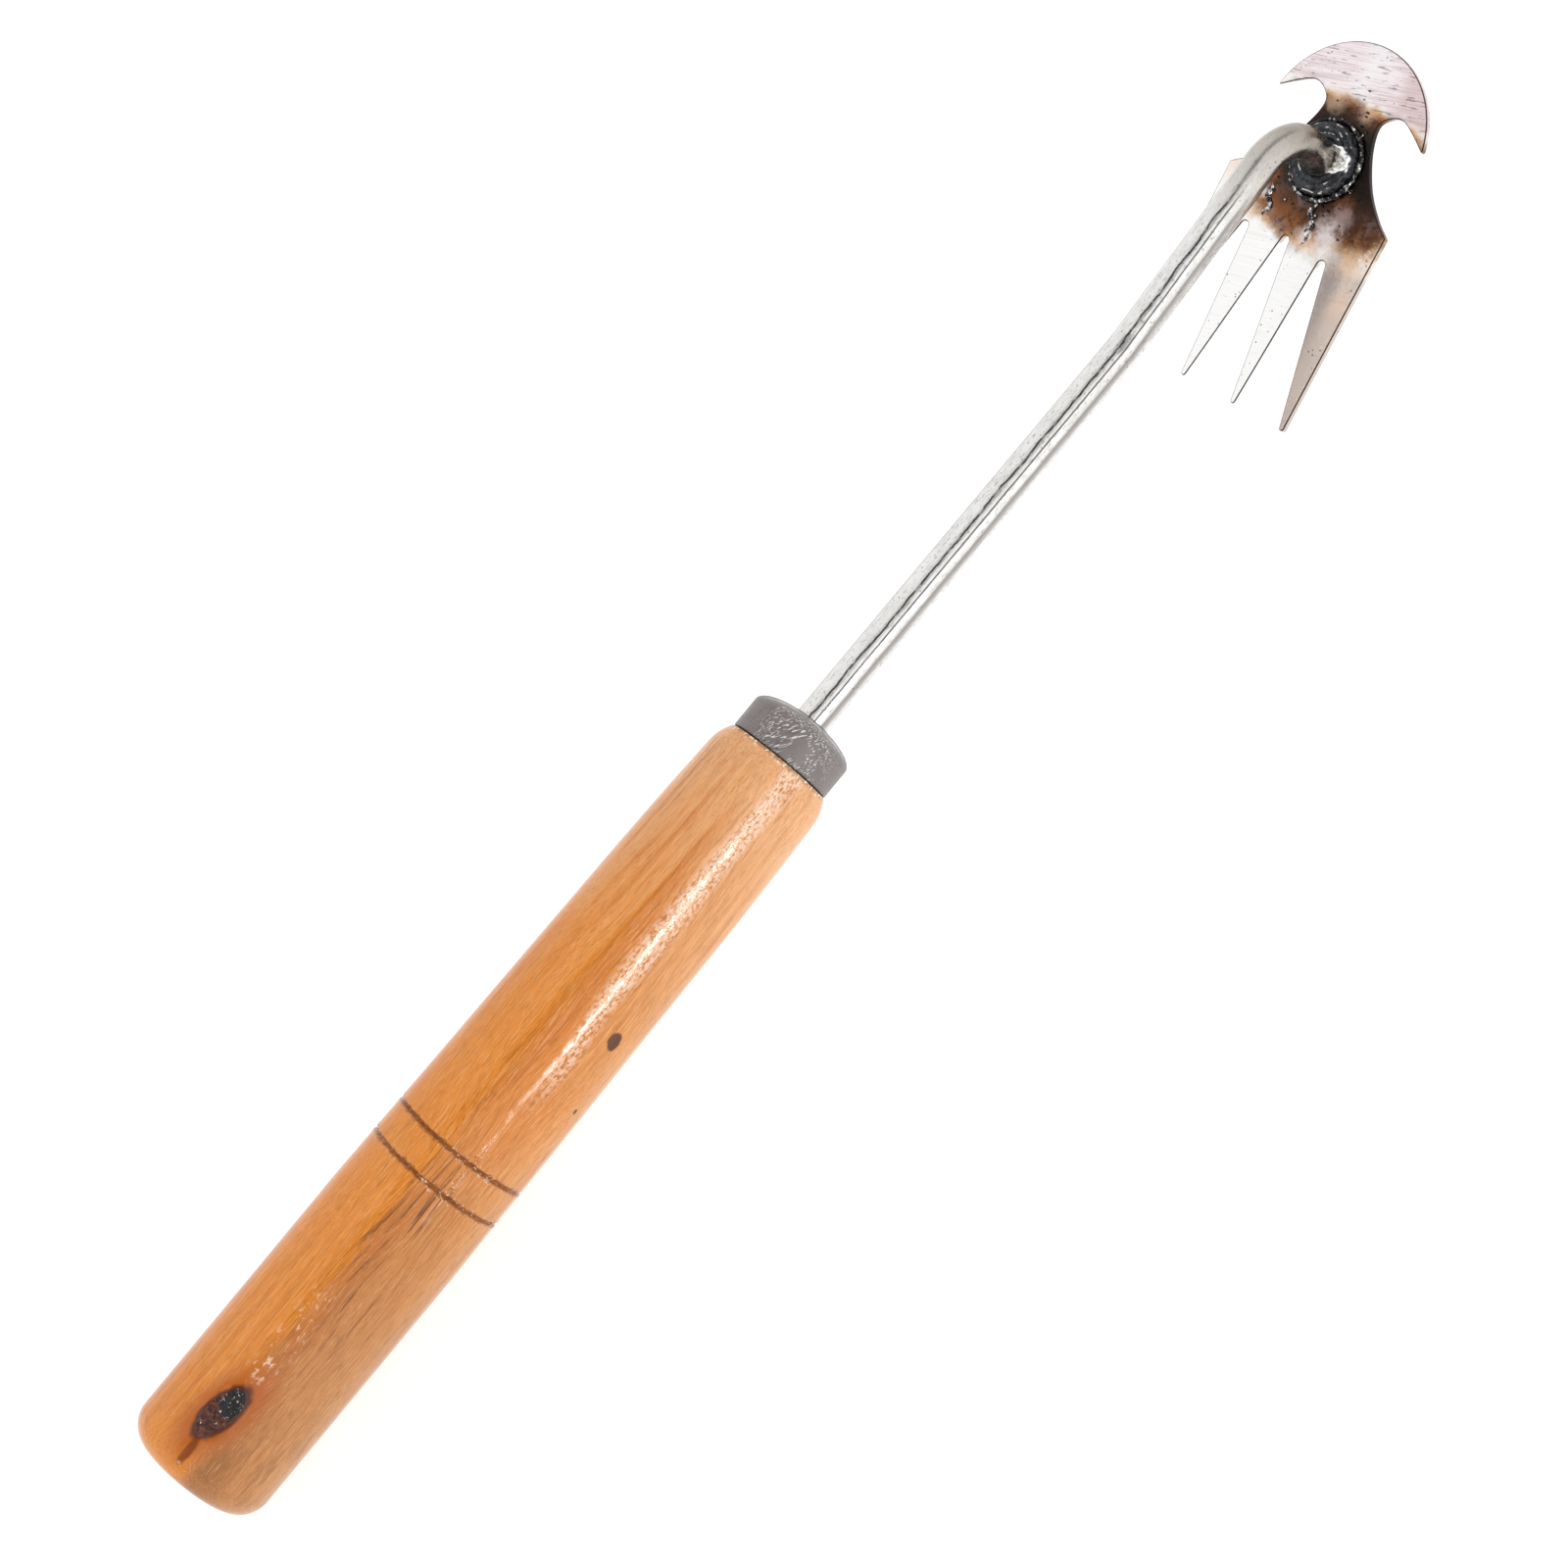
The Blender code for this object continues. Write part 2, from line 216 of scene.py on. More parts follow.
class Shader:
    """A material's node tree, with short calls for the nodes used here."""

    def __init__(self, name, metallic=0.0, roughness=0.4):
        self.material = bpy.data.materials.new(name)
        self.material.use_nodes = True
        self.tree = self.material.node_tree
        self.surface = self.tree.nodes["Principled BSDF"]
        self.surface.inputs["Metallic"].default_value = metallic
        self.surface.inputs["Roughness"].default_value = roughness
        self.surface.inputs["IOR"].default_value = 1.5
        self.place = self.node("ShaderNodeTexCoord").outputs["Object"]
        self.mm = self.vector("SCALE", self.place, scale=1 / MM)
        self.colour = None

    def node(self, kind, **settings):
        return add_node(self.tree, kind, **settings)

    def feed(self, socket, value):
        if isinstance(value, bpy.types.NodeSocket):
            self.tree.links.new(value, socket)
        elif isinstance(value, (tuple, list)) and len(value) == 3 and socket.type == "RGBA":
            socket.default_value = (*value, 1.0)
        else:
            socket.default_value = value

    def set(self, name, value):
        self.feed(self.surface.inputs[name], value)

    def vector(self, operation, a, b=None, scale=None):
        made = self.node("ShaderNodeVectorMath", operation=operation)
        self.feed(made.inputs[0], a)
        if b is not None:
            self.feed(made.inputs[1], b)
        if scale is not None:
            self.feed(made.inputs["Scale"], scale)
        return made.outputs["Value" if operation in ("LENGTH", "DOT_PRODUCT") else "Vector"]

    def math(self, operation, a, b=0.0):
        made = self.node("ShaderNodeMath", operation=operation)
        for socket, value in zip(made.inputs, (a, b)):
            self.feed(socket, value)
        return made.outputs[0]

    def times(self, *factors):
        return reduce(lambda a, b: self.math("MULTIPLY", a, b), factors)

    def plus(self, *terms):
        return reduce(lambda a, b: self.math("ADD", a, b), terms)

    def minus(self, a, b):
        return self.math("SUBTRACT", a, b)

    def gap(self, a, b):
        """How far apart the two values are."""
        return self.math("ABSOLUTE", self.minus(a, b))

    def swing(self, value, size):
        """A value round 0.5 turned into one round zero, size times as wide."""
        return self.times(self.minus(value, 0.5), size)

    def reach(self, centre, stretch=(1.0, 1.0, 1.0), source=None):
        """Distance from a point, with the distance along each axis stretched."""
        off = self.vector("SUBTRACT", source or self.mm, tuple(centre))
        return self.vector("LENGTH", self.vector("MULTIPLY", off, stretch))

    def rotated(self, kind, angle, source=None, axis=None):
        made = self.node("ShaderNodeVectorRotate", rotation_type=kind)
        self.feed(made.inputs["Vector"], source or self.mm)
        self.feed(made.inputs["Angle"], angle)
        if axis:
            self.feed(made.inputs["Axis"], axis)
        return made.outputs[0]

    def axis(self, name, source=None):
        made = self.node("ShaderNodeSeparateXYZ")
        self.feed(made.inputs[0], source or self.mm)
        return made.outputs[name]

    def combine(self, x, y, z):
        made = self.node("ShaderNodeCombineXYZ")
        for socket, value in zip(made.inputs, (x, y, z)):
            self.feed(socket, value)
        return made.outputs[0]

    def noise(self, stretch, source=None, detail=3.0, roughness=0.5):
        """Noise from 0 to 1 with a frequency per millimetre along each axis."""
        made = self.node("ShaderNodeTexNoise")
        self.feed(made.inputs["Vector"], self.vector("MULTIPLY", source or self.mm, stretch))
        self.feed(made.inputs["Scale"], 1.0)
        self.feed(made.inputs["Detail"], detail)
        self.feed(made.inputs["Roughness"], roughness)
        return made.outputs["Fac"]

    def cells(self, stretch):
        """Distance to the nearest of scattered points, with a frequency per millimetre."""
        made = self.node("ShaderNodeTexVoronoi")
        self.feed(made.inputs["Vector"], self.vector("MULTIPLY", self.mm, stretch))
        self.feed(made.inputs["Scale"], 1.0)
        return made.outputs["Distance"]

    def remap(self, value, low, high, to_low=0.0, to_high=1.0, smooth=True):
        kind = "SMOOTHSTEP" if smooth else "LINEAR"
        made = self.node("ShaderNodeMapRange", interpolation_type=kind)
        for socket, item in zip(made.inputs, (value, low, high, to_low, to_high)):
            self.feed(socket, item)
        return made.outputs[0]

    def mix(self, factor, a, b):
        made = self.node("ShaderNodeMix", data_type="RGBA")
        self.feed(made.inputs["Factor"], factor)
        colours = [s for s in made.inputs if s.type == "RGBA"]
        self.feed(colours[0], a)
        self.feed(colours[1], b)
        return next(s for s in made.outputs if s.type == "RGBA")

    def paint(self, mask, tone):
        """Lays a colour over the material's colour so far, where the mask is up."""
        self.colour = self.mix(mask, self.colour, tone)

    def paint_where(self, value, start, full, strength, tone, fade=None):
        """Paints with a mask that rises from start to full strength, times fade."""
        mask = self.remap(value, start, full, 0.0, strength)
        self.paint(mask if fade is None else self.times(fade, mask), tone)

    def ramp(self, value, stops):
        made = self.node("ShaderNodeValToRGB")
        self.feed(made.inputs[0], value)
        fill_ramp(made, stops)
        return made.outputs[0]

    def bump(self, height, distance, strength=1.0, onto=None):
        made = self.node("ShaderNodeBump")
        self.feed(made.inputs["Strength"], strength)
        self.feed(made.inputs["Distance"], distance * MM)
        self.feed(made.inputs["Height"], height)
        if onto is not None:
            self.feed(made.inputs["Normal"], onto)
        return made.outputs[0]


# ---------------------------------------------------------------- places of the wood's marks
def on_handle(x, degrees, radius=HANDLE_RADIUS):
    """A point on the handle's surface; 90 degrees is straight up and 180 is the -Y side."""
    return Vector((x, radius * math.cos(math.radians(degrees)), radius * math.sin(math.radians(degrees))))


SURFACE_MM_PER_DEGREE = 0.24
UPWARD_DEGREES = 128
KNOT_DEGREES = 117.5
KNOT = on_handle(16.6, KNOT_DEGREES)
KNOT_CORE = on_handle(19.2, 120.0)
KNOT_SPAN = (5.6, 2.55)
KNOT_TURN = math.radians(-12)
CREASE_X = 8.0
CREASE_DEGREES = 116.9
SPOT_X = 107.6
SPOT_DEGREES = 171.6
SPOT = on_handle(SPOT_X, SPOT_DEGREES, 13.1)
PINHOLE = on_handle(93.9, 188.5, 13.26)
# Handle x and degrees of each mark, and the radius of each bubble
VARNISH_BUBBLES = (
    (30.5, 116.3, 0.45),
    (34.2, 133.5, 0.50),
    (27.4, 115.0, 0.40),
    (32.6, 127.0, 0.35),
    (38.8, 123.6, 0.40),
)
GROOVE_CHIPS = ((76.3, 144.5), (69.4, 146.0))


# ---------------------------------------------------------------- handle
def handle_radius(x):
    taper = 0.0135 * max(0.0, x - 58.0)
    crown = 0.00049 * max(0.0, x - 130.0) ** 2
    return HANDLE_RADIUS - taper - crown


def knot_distance(point):
    """Below 1 inside the knot's oval outline."""
    offset = Vector(point) - KNOT
    turn = math.radians(KNOT_DEGREES)
    side = Vector((0.0, -math.sin(turn), math.cos(turn)))
    along = offset.x * math.cos(KNOT_TURN) + offset.dot(side) * math.sin(KNOT_TURN)
    across = -offset.x * math.sin(KNOT_TURN) + offset.dot(side) * math.cos(KNOT_TURN)
    return math.hypot(along / KNOT_SPAN[0], across / KNOT_SPAN[1])


def surface_reach(x, degrees, centre_x, centre_degrees):
    """Distance over the handle's surface from a mark's centre."""
    return math.hypot(x - centre_x, angle_gap(degrees, centre_degrees) * SURFACE_MM_PER_DEGREE)


def groove_relief(x, degrees, point, groove):
    """A hand-scored groove that leans and wanders, with a burr along its edges."""
    lean = -0.95 * math.cos(math.radians(degrees - UPWARD_DEGREES)) + 0.12 * wobble(point, 0.5, groove)
    width = 0.46 + 0.20 * wobble(point, 0.9, groove + 4)
    gap = x - groove - lean
    depth = 0.50 + 0.25 * wobble(point, 0.7, groove + 8)
    burr = 0.10 * (0.5 + 0.5 * wobble(point, 1.3, groove))
    return burr * bump(abs(gap) - width - 0.2, 0.45) - depth * bump(gap, width)


def knot_relief(point):
    """The sunken, rough knot with a soft lip round it."""
    edge = knot_distance(point)
    if edge >= 1.7:
        return 0.0
    inside = max(0.0, 1.0 - edge)
    sunk = 0.38 * min(1.0, inside * 3) * (0.6 + 0.4 * wobble(point, 1.5, 1.0))
    rough = 0.16 * min(1.0, inside * 4) * wobble(point, 2.6, 5.0)
    return rough - sunk + 0.14 * bump(edge - 1.15, 0.4)


def handle_surface(x, degrees):
    """Relief of the lathe's marks, the grooves, the knot and the varnish at a place on the handle."""
    point = on_handle(x, degrees)
    relief = 0.05 * wobble(point, 0.045, 3.0) + 0.012 * wobble((x, 0, 0), 0.9, 9.0)
    relief += sum(groove_relief(x, degrees, point, groove) for groove in GROOVES)
    for chip in GROOVE_CHIPS:
        reach = surface_reach(x, degrees, *chip)
        relief += 0.22 * bump(reach - 1.2, 0.35) - 0.35 * bump(reach, 1.1)
    relief += knot_relief(point)
    if abs(x - CREASE_X) < 3.5:
        crease = abs(degrees - CREASE_DEGREES) * SURFACE_MM_PER_DEGREE
        relief -= 0.12 * bump(crease, 0.5) * bump(x - CREASE_X, 4.0)
    for bubble_x, bubble_degrees, size in VARNISH_BUBBLES:
        relief += 0.14 * bump(surface_reach(x, degrees, bubble_x, bubble_degrees), size)
    return relief - 0.22 * bump((point - on_handle(SPOT_X, SPOT_DEGREES)).length, 1.6)


def handle_outside():
    """(x, radius) from the butt's centre to the end of the shoulder, dense where the shape changes."""
    corner = (BUTT + BUTT_ROUNDING, HANDLE_RADIUS - BUTT_ROUNDING)
    profile = [(BUTT, corner[1] * t) for t in (0.25, 0.5, 0.75)]
    profile += arc(corner, BUTT_ROUNDING, math.pi, math.pi / 2, 16)
    xs = list(np.arange(corner[0] + 0.6, SHOULDER_START, 0.62))
    dense_reach = 2.6
    for groove in GROOVES:
        xs = [x for x in xs if abs(x - groove) > dense_reach]
        xs += list(groove + np.linspace(-dense_reach, dense_reach, 41))
    profile += [(x, handle_radius(x)) for x in sorted(xs)]
    start = handle_radius(SHOULDER_START)
    for t in np.linspace(0.0, 1.0, 14):
        x = SHOULDER_START + t * (HANDLE_END - SHOULDER_START)
        profile.append((x, start - (start - SHOULDER_END_RADIUS) * t**2))
    return profile


def build_handle(finish):
    sides = 180

    def on_surface(station, degrees):
        x, radius = station
        share = min(1.0, (x - BUTT) / 3.0)
        return on_handle(x, degrees, radius + share * handle_surface(x, degrees))

    hidden = (
        (HANDLE_END, SPIGOT_RADIUS),
        (SPIGOT_END, SPIGOT_RADIUS),
        (SPIGOT_END, BORE_RADIUS),
        (BORE_BOTTOM, BORE_RADIUS),
    )
    rings = turned(handle_outside(), sides, on_surface)
    rings += turned(hidden, sides, lambda station, degrees: on_handle(station[0], degrees, station[1]))
    return finish_piece(
        "turned_wood_handle", loft(rings), TOOL, finish, ["handle_grip"], smooth_angle=50
    )


# ---------------------------------------------------------------- ferrule
def build_ferrule(finish):
    sides = 144
    rounding = 0.25
    inside = SPIGOT_RADIUS + 0.3
    hole = ROD_RADIUS + 0.15
    dome_height = FERRULE_END - FERRULE_SIDE_END
    outer = [(FERRULE_START, inside), (FERRULE_START, FERRULE_RADIUS - rounding)]
    corner = (FERRULE_START + rounding, FERRULE_RADIUS - rounding)
    outer += arc(corner, rounding, math.pi, math.pi / 2, 3)[1:]
    outer += [(x, FERRULE_RADIUS) for x in np.linspace(FERRULE_START + 0.6, FERRULE_SIDE_END - 0.3, 12)]
    for a in np.radians(np.linspace(0, 70, 24)):
        outer.append((FERRULE_SIDE_END + dome_height * math.sin(a), FERRULE_RADIUS * math.cos(a)))
    outer += [(FERRULE_END - 0.15, hole + 0.15), (FERRULE_END - 0.45, hole)]
    outer += [(FERRULE_INSIDE_TOP, hole), (FERRULE_INSIDE_TOP, inside)]

    def on_surface(station, degrees):
        x, radius = station
        seen = radius > SPIGOT_RADIUS + 0.6
        dents = 0.035 * wobble(on_handle(x, degrees, radius), 0.22, 12.0) if seen else 0.0
        return on_handle(x, degrees, radius + dents)

    bm = loft(turned(outer, sides, on_surface), looped=True)
    return finish_piece("satin_ferrule", bm, TOOL, finish, ["ferrule_cap"])


# ---------------------------------------------------------------- rod
# Tool x, degrees round the rod, reach and depth
ROD_DENTS = ((261.8, 112.0, 1.6, 0.16), (259.6, 118.0, 1.0, 0.12), (263.6, 108.0, 0.8, -0.10))
ROD_MM_PER_DEGREE = 0.057
# Depth, fineness round the rod and along it, and seed
WIRE_RELIEF = ((0.028, 1.4, 0.012, 2.0), (0.012, 4.0, 0.03, 6.0), (0.010, 3.2, 0.8, 8.0))
# Turn in degrees and bend radius
EXIT_BEND = (-0.4, 150.0)
KINK = (5.6, 45.0)
CROOK = (-84.7, 9.3)
LONG_STRAIGHT = 84.1
SHORT_STRAIGHT = 38.2
FOOT_LENGTH = 4.5


def rod_route():
    """Stations (x, z, heading, radius) along the rod's middle, in short steps."""
    x, z, heading = TANG_TIP, 0.0, 0.0
    stations = [(x, z, heading, TANG_TIP_RADIUS)]

    def run(length, steps):
        nonlocal x, z
        for _ in range(steps):
            x += length / steps * math.cos(heading)
            z += length / steps * math.sin(heading)
            stations.append((x, z, heading, ROD_RADIUS))

    def bend(turn, radius, steps):
        nonlocal x, z, heading
        angle = math.radians(turn)
        chord = 2 * radius * math.sin(abs(angle) / steps / 2)
        for _ in range(steps):
            heading += angle / steps / 2
            x += chord * math.cos(heading)
            z += chord * math.sin(heading)
            heading += angle / steps / 2
            stations.append((x, z, heading, ROD_RADIUS))

    run(TANG_POINT_LENGTH, 1)
    run(FERRULE_EXIT - x, 4)
    bend(*EXIT_BEND, 2)
    run(LONG_STRAIGHT, 150)
    bend(*KINK, 12)
    run(SHORT_STRAIGHT, 70)
    bend(*CROOK, 48)
    run(FOOT_LENGTH, 8)
    return stations


def rod_surface(travel, degrees, x):
    """Relief of drawn wire: long shallow die lines, fine pits and the dents near the kink."""
    around = Vector((0.0, math.cos(math.radians(degrees)), math.sin(math.radians(degrees))))
    relief = 0.0
    for depth, fineness, along, seed in WIRE_RELIEF:
        relief += depth * wobble(around * fineness + Vector((travel * along, 0, 0)), 1.0, seed)
    for dent_x, dent_angle, size, depth in ROD_DENTS:
        reach = math.hypot((x - dent_x) * 0.55, angle_gap(degrees, dent_angle) * ROD_MM_PER_DEGREE)
        relief -= depth * bump(reach, size)
    return relief


def build_rod(finish):
    sides = 72
    route = rod_route()
    side = Vector((0.0, 1.0, 0.0))
    to_blade = TOOL.inverted() @ BLADE
    normal = to_blade.to_3x3() @ Vector((0.0, 0.0, 1.0))
    foot = to_blade.translation / MM + (ROD_END_HEIGHT - 0.4) * normal
    rings = []
    travel = 0.0
    before = route[0]
    for x, z, heading, radius in route:
        travel += math.hypot(x - before[0], z - before[1])
        before = (x, z)
        up = Vector((-math.sin(heading), 0.0, math.cos(heading)))
        ring = []
        for step in range(sides):
            degrees = 360 * step / sides
            rough = rod_surface(travel, degrees, x) if radius == ROD_RADIUS else 0.0
            out = side * math.cos(math.radians(degrees)) + up * math.sin(math.radians(degrees))
            ring.append(Vector((x, 0.0, z)) + (radius + rough) * out)
        rings.append(ring)
    # The last ring is cut square to the plate, a little inside the pad
    along = Vector((math.cos(heading), 0.0, math.sin(heading)))
    rings[-1] = [p + along * ((foot - p).dot(normal) / along.dot(normal)) for p in rings[-1]]
    return finish_piece("bent_steel_rod", loft(rings), TOOL, finish, ["shank_rod"])


# ---------------------------------------------------------------- blade
CRESCENT_TOP = -22.6
CRESCENT_RADIUS = 18.2
HORN_ANGLE = math.radians(75.5)
CORNER = (7.7, 19.4)
TIP_X = 46.6
TIP_RADIUS = 0.55
TIP_YS = (18.8, 6.4)
NOTCH_RADIUS = 0.9
OUTER_NOTCH = (17.1, 9.7)
MIDDLE_NOTCH_X = 16.1
RIM_ROUNDING = 0.20
FACE_SPACING = 1.1
FACE_HALF_WIDTH = 19.6
HOOK_POINTS = (
    (-8.6, 17.4),
    (-10.9, 13.7),
    (-12.2, 10.6),
    (-11.2, 7.8),
    (-9.0, 6.5),
    (-4.4, 7.9),
    (1.2, 11.5),
    (5.2, 15.7),
    CORNER,
)


def straight(start, end, steps=24):
    """Points between start and end, without the two themselves."""
    start, end = np.array(start), np.array(end)
    return [tuple(start + (end - start) * t) for t in np.linspace(0, 1, steps + 1)[1:-1]]


def half_outline():
    """Right half of the blade, from the crescent's top to the bottom of the middle notch."""
    quarter = math.pi / 2
    tip_centre_x = TIP_X - TIP_RADIUS
    points = arc((CRESCENT_TOP + CRESCENT_RADIUS, 0.0), CRESCENT_RADIUS, math.pi, math.pi - HORN_ANGLE, 44)
    points += [tuple(point) for point in smooth_through(HOOK_POINTS, 7)]
    points += [(x, CORNER[1] - 0.05 * (x - CORNER[0]) / 40) for x in np.arange(9.0, 45.5, 1.2)]
    points += arc((tip_centre_x, TIP_YS[0]), TIP_RADIUS, quarter, -quarter, 8)
    points += straight(points[-1], (OUTER_NOTCH[0], OUTER_NOTCH[1] + NOTCH_RADIUS))
    points += arc(OUTER_NOTCH, NOTCH_RADIUS, quarter, 3 * quarter, 10)
    points += straight(points[-1], (tip_centre_x, TIP_YS[1] + TIP_RADIUS))
    points += arc((tip_centre_x, TIP_YS[1]), TIP_RADIUS, quarter, -quarter, 8)
    points += straight(points[-1], (MIDDLE_NOTCH_X, NOTCH_RADIUS))
    points += arc((MIDDLE_NOTCH_X, 0.0), NOTCH_RADIUS, quarter, 2 * quarter, 5)
    return points


def blade_lift(x, y):
    """The thin plate is slightly warped by the weld's heat, and its tines are not quite level."""
    warp = 0.10 * wobble((x, y, 0.0), 0.06, 4.0)
    tine = 0.10 * wobble((0.0, y, 0.0), 0.09, 7.0) * max(0.0, (x - 16.0) / 30.0)
    return min(0.0, warp - 0.08) + tine


def inset_outline(outline, amount):
    """Each point moved inwards along the outline's local normal."""
    moved = []
    count = len(outline)
    for i, (x, y) in enumerate(outline):
        before, after = outline[i - 1], outline[(i + 1) % count]
        along = Vector((after[0] - before[0], after[1] - before[1])).normalized()
        moved.append((x - along.y * amount, y + along.x * amount))
    return moved


def blade_outline():
    """The whole outline, mirrored and in counterclockwise order."""
    right = half_outline()
    outline = right + [(x, -y) for x, y in reversed(right[1:-1])]
    area = sum(a[0] * b[1] - b[0] * a[1] for a, b in zip(outline, outline[1:] + outline[:1]))
    if area < 0:
        outline.reverse()
    return outline


def filled_face(inner):
    """Corners and faces of the flat inside the outline, with each outline point's corner."""
    spots = [Vector(point) for point in inner]
    count = len(spots)
    for row, x in enumerate(np.arange(CRESCENT_TOP, TIP_X, FACE_SPACING * 0.87)):
        for y in np.arange(-FACE_HALF_WIDTH, FACE_HALF_WIDTH, FACE_SPACING):
            spots.append(Vector((x, y + FACE_SPACING / 2 * (row % 2))))
    flat = geometry.delaunay_2d_cdt(spots, [], [list(range(count))], 1, 1e-4)
    corners, faces, originals = flat[0], flat[2], flat[3]
    rim_of = {source: i for i, sources in enumerate(originals) for source in sources if source < count}
    return corners, faces, [rim_of[i] for i in range(count)]


def build_blade(finish):
    outline = blade_outline()
    count = len(outline)
    corners, faces, rim_corners = filled_face(inset_outline(outline, RIM_ROUNDING))
    bm = bmesh.new()
    layers = []
    for level in (0.0, -BLADE_THICKNESS):
        layers.append([bm.verts.new((p.x, p.y, level)) for p in corners])
    for face in faces:
        bm.faces.new([layers[0][i] for i in face])
        bm.faces.new([layers[1][i] for i in reversed(face)])
    # The rounded rim: how far down from the top face, and how far out from the inner outline
    shoulder, side = (RIM_ROUNDING * 0.3, RIM_ROUNDING * 0.7), (RIM_ROUNDING, RIM_ROUNDING)
    steps = [shoulder, side]
    steps += [(BLADE_THICKNESS - down, out) for down, out in (side, shoulder)]
    rims = [[layers[0][i] for i in rim_corners]]
    for down, out in steps:
        rims.append([bm.verts.new((x, y, -down)) for x, y in inset_outline(outline, RIM_ROUNDING - out)])
    rims.append([layers[1][i] for i in rim_corners])
    for first, second in zip(rims, rims[1:]):
        for i in range(count):
            j = (i + 1) % count
            bm.faces.new((first[i], second[i], second[j], first[j]))
    for vert in bm.verts:
        vert.co.z += blade_lift(vert.co.x, vert.co.y)
    bmesh.ops.delete(bm, geom=[v for v in bm.verts if not v.link_faces], context="VERTS")
    return finish_piece("tinted_claw_blade", bm, BLADE, finish, ["claw_blade"], 16)


# ---------------------------------------------------------------- welds
LIP_DEGREES = 104


def polar(radius, degrees, height):
    angle = math.radians(degrees)
    return Vector((radius * math.cos(angle), radius * math.sin(angle), height))


def build_pad(finish):
    """Built-up black weld metal: rings of bead laid round the rod's end, one on the other."""
    steps = 44

    def on_pad(t, degrees):
        radius = 7.3 - 4.5 * t
        height = 2.35 * (1 - (1 - min(1.0, t * 3.4)) ** 2.4)
        point = polar(radius, degrees, height)
        layer = (t * 3.6 + 0.25 * wobble(point, 0.35, 7.0)) % 1.0
        rise = min(1.0, t * 6)
        height += rise * (0.26 * math.sin(layer * math.pi) - 0.13)
        ripple = math.sin(math.radians(degrees * 26) + 2.5 * wobble(point, 0.4, 2.0) + 5.0 * layer)
        height += rise * (0.11 * abs(ripple) - 0.05 + 0.14 * wobble(point, 0.7, 5.0))
        radius += 0.10 * wobble(point, 0.8, 3.0) + 0.05 * ripple * (1 - t)
        return polar(radius, degrees, height if t else -0.1)

    rings = turned([i / steps for i in range(steps + 1)], 200, on_pad)
    return finish_piece("built_up_weld_pad", loft(rings), BLADE, finish, ["weld_pad"], 60)


def build_pad_bead(finish):
    """The ring of bead between pad and plate, in overlapping scallops."""
    sides = 260
    centre = PAD_RADIUS + 0.72
    rings = []
    for step in range(sides):
        degrees = 360 * step / sides
        phase = (degrees * 30 / 360 + 0.3 * wobble((degrees * 0.05, 0, 0), 1.0, 3.0)) % 1.0
        swell = 0.75 + 0.35 * math.sqrt(max(0.0, 1 - (phase - 0.45) ** 2 * 3))
        swell *= 0.85 + 0.3 * wobble((degrees * 0.04, 0, 0), 1.0, 8.0)
        width, height = 0.66 * swell, 0.78 * swell
        rings.append(section(12, lambda c, s: polar(centre + width * c, degrees, 0.25 + height * s)))
    bm = loft(rings, looped=True)
    return finish_piece("scalloped_pad_bead", bm, BLADE, finish, ["pad_weld"], 60)


def build_rod_bead(finish):
    """The fillet between rod and pad, with a heavy bright lip on its +Y side."""
    sides = 200
    rings = []
    for step in range(sides):
        degrees = 360 * step / sides
        heavy = bump(angle_gap(degrees, LIP_DEGREES), 54)
        phase = (degrees * 18 / 360 + 0.4 * wobble((degrees * 0.05, 0, 0), 1.0, 1.0)) % 1.0
        scallop = 1 - 0.22 * (phase - 0.5) ** 2 * 4
        width = (0.32 + 1.45 * heavy) * scallop
        height = (0.35 + 0.60 * heavy) * scallop
        centre = ROD_RADIUS + 0.05 + 1.65 * heavy

        def on_bead(cosine, sine):
            radius = centre + width * cosine
            rough = 0.10 * wobble(polar(radius, degrees, 0), 1.1, 6.0)
            return polar(radius, degrees, 2.15 + height * sine + rough)

        rings.append(section(16, on_bead))
    bm = loft(rings, looped=True)
    return finish_piece("bright_rod_fillet", bm, BLADE, finish, ["rod_weld"], 60)


CENTRE_RUN = (
    (7.4, 3.0),
    (8.6, 2.4),
    (9.6, 2.3),
    (10.6, 3.1),
    (11.6, 3.9),
    (13.0, 3.6),
    (14.2, 4.1),
    (15.6, 3.6),
)
SIDE_RUN = (
    (7.9, -8.3),
    (9.0, -7.6),
    (10.2, -8.1),
    (11.2, -6.8),
    (12.2, -6.5),
    (13.0, -7.3),
    (14.2, -7.1),
)


def build_run(name, points, widest, replaced, finish, seed):
    """A thin, uneven run of weld metal: beads that swell and pinch along a wandering line."""
    line = smooth_through([(*p, 0.0) for p in points], 14)
    rings = []
    for i, centre in enumerate(line):
        t = i / (len(line) - 1)
        along = (line[min(i + 1, len(line) - 1)] - line[max(i - 1, 0)]).normalized()
        side = Vector((-along.y, along.x, 0.0))
        ends = max(0.08, min(1.0, t * 7, (1 - t) * 3.2))
        beads = 0.75 + 0.35 * abs(math.sin(i * 0.42 + seed)) + 0.2 * wobble(centre, 1.1, seed)
        swell = widest * ends * beads

        def on_run(cosine, sine):
            return centre + side * swell * cosine + Vector((0.0, 0.0, 0.5 * swell * sine + 0.06))

        rings.append(section(14, on_run))
    return finish_piece(name, loft(rings), BLADE, finish, replaced, 60)


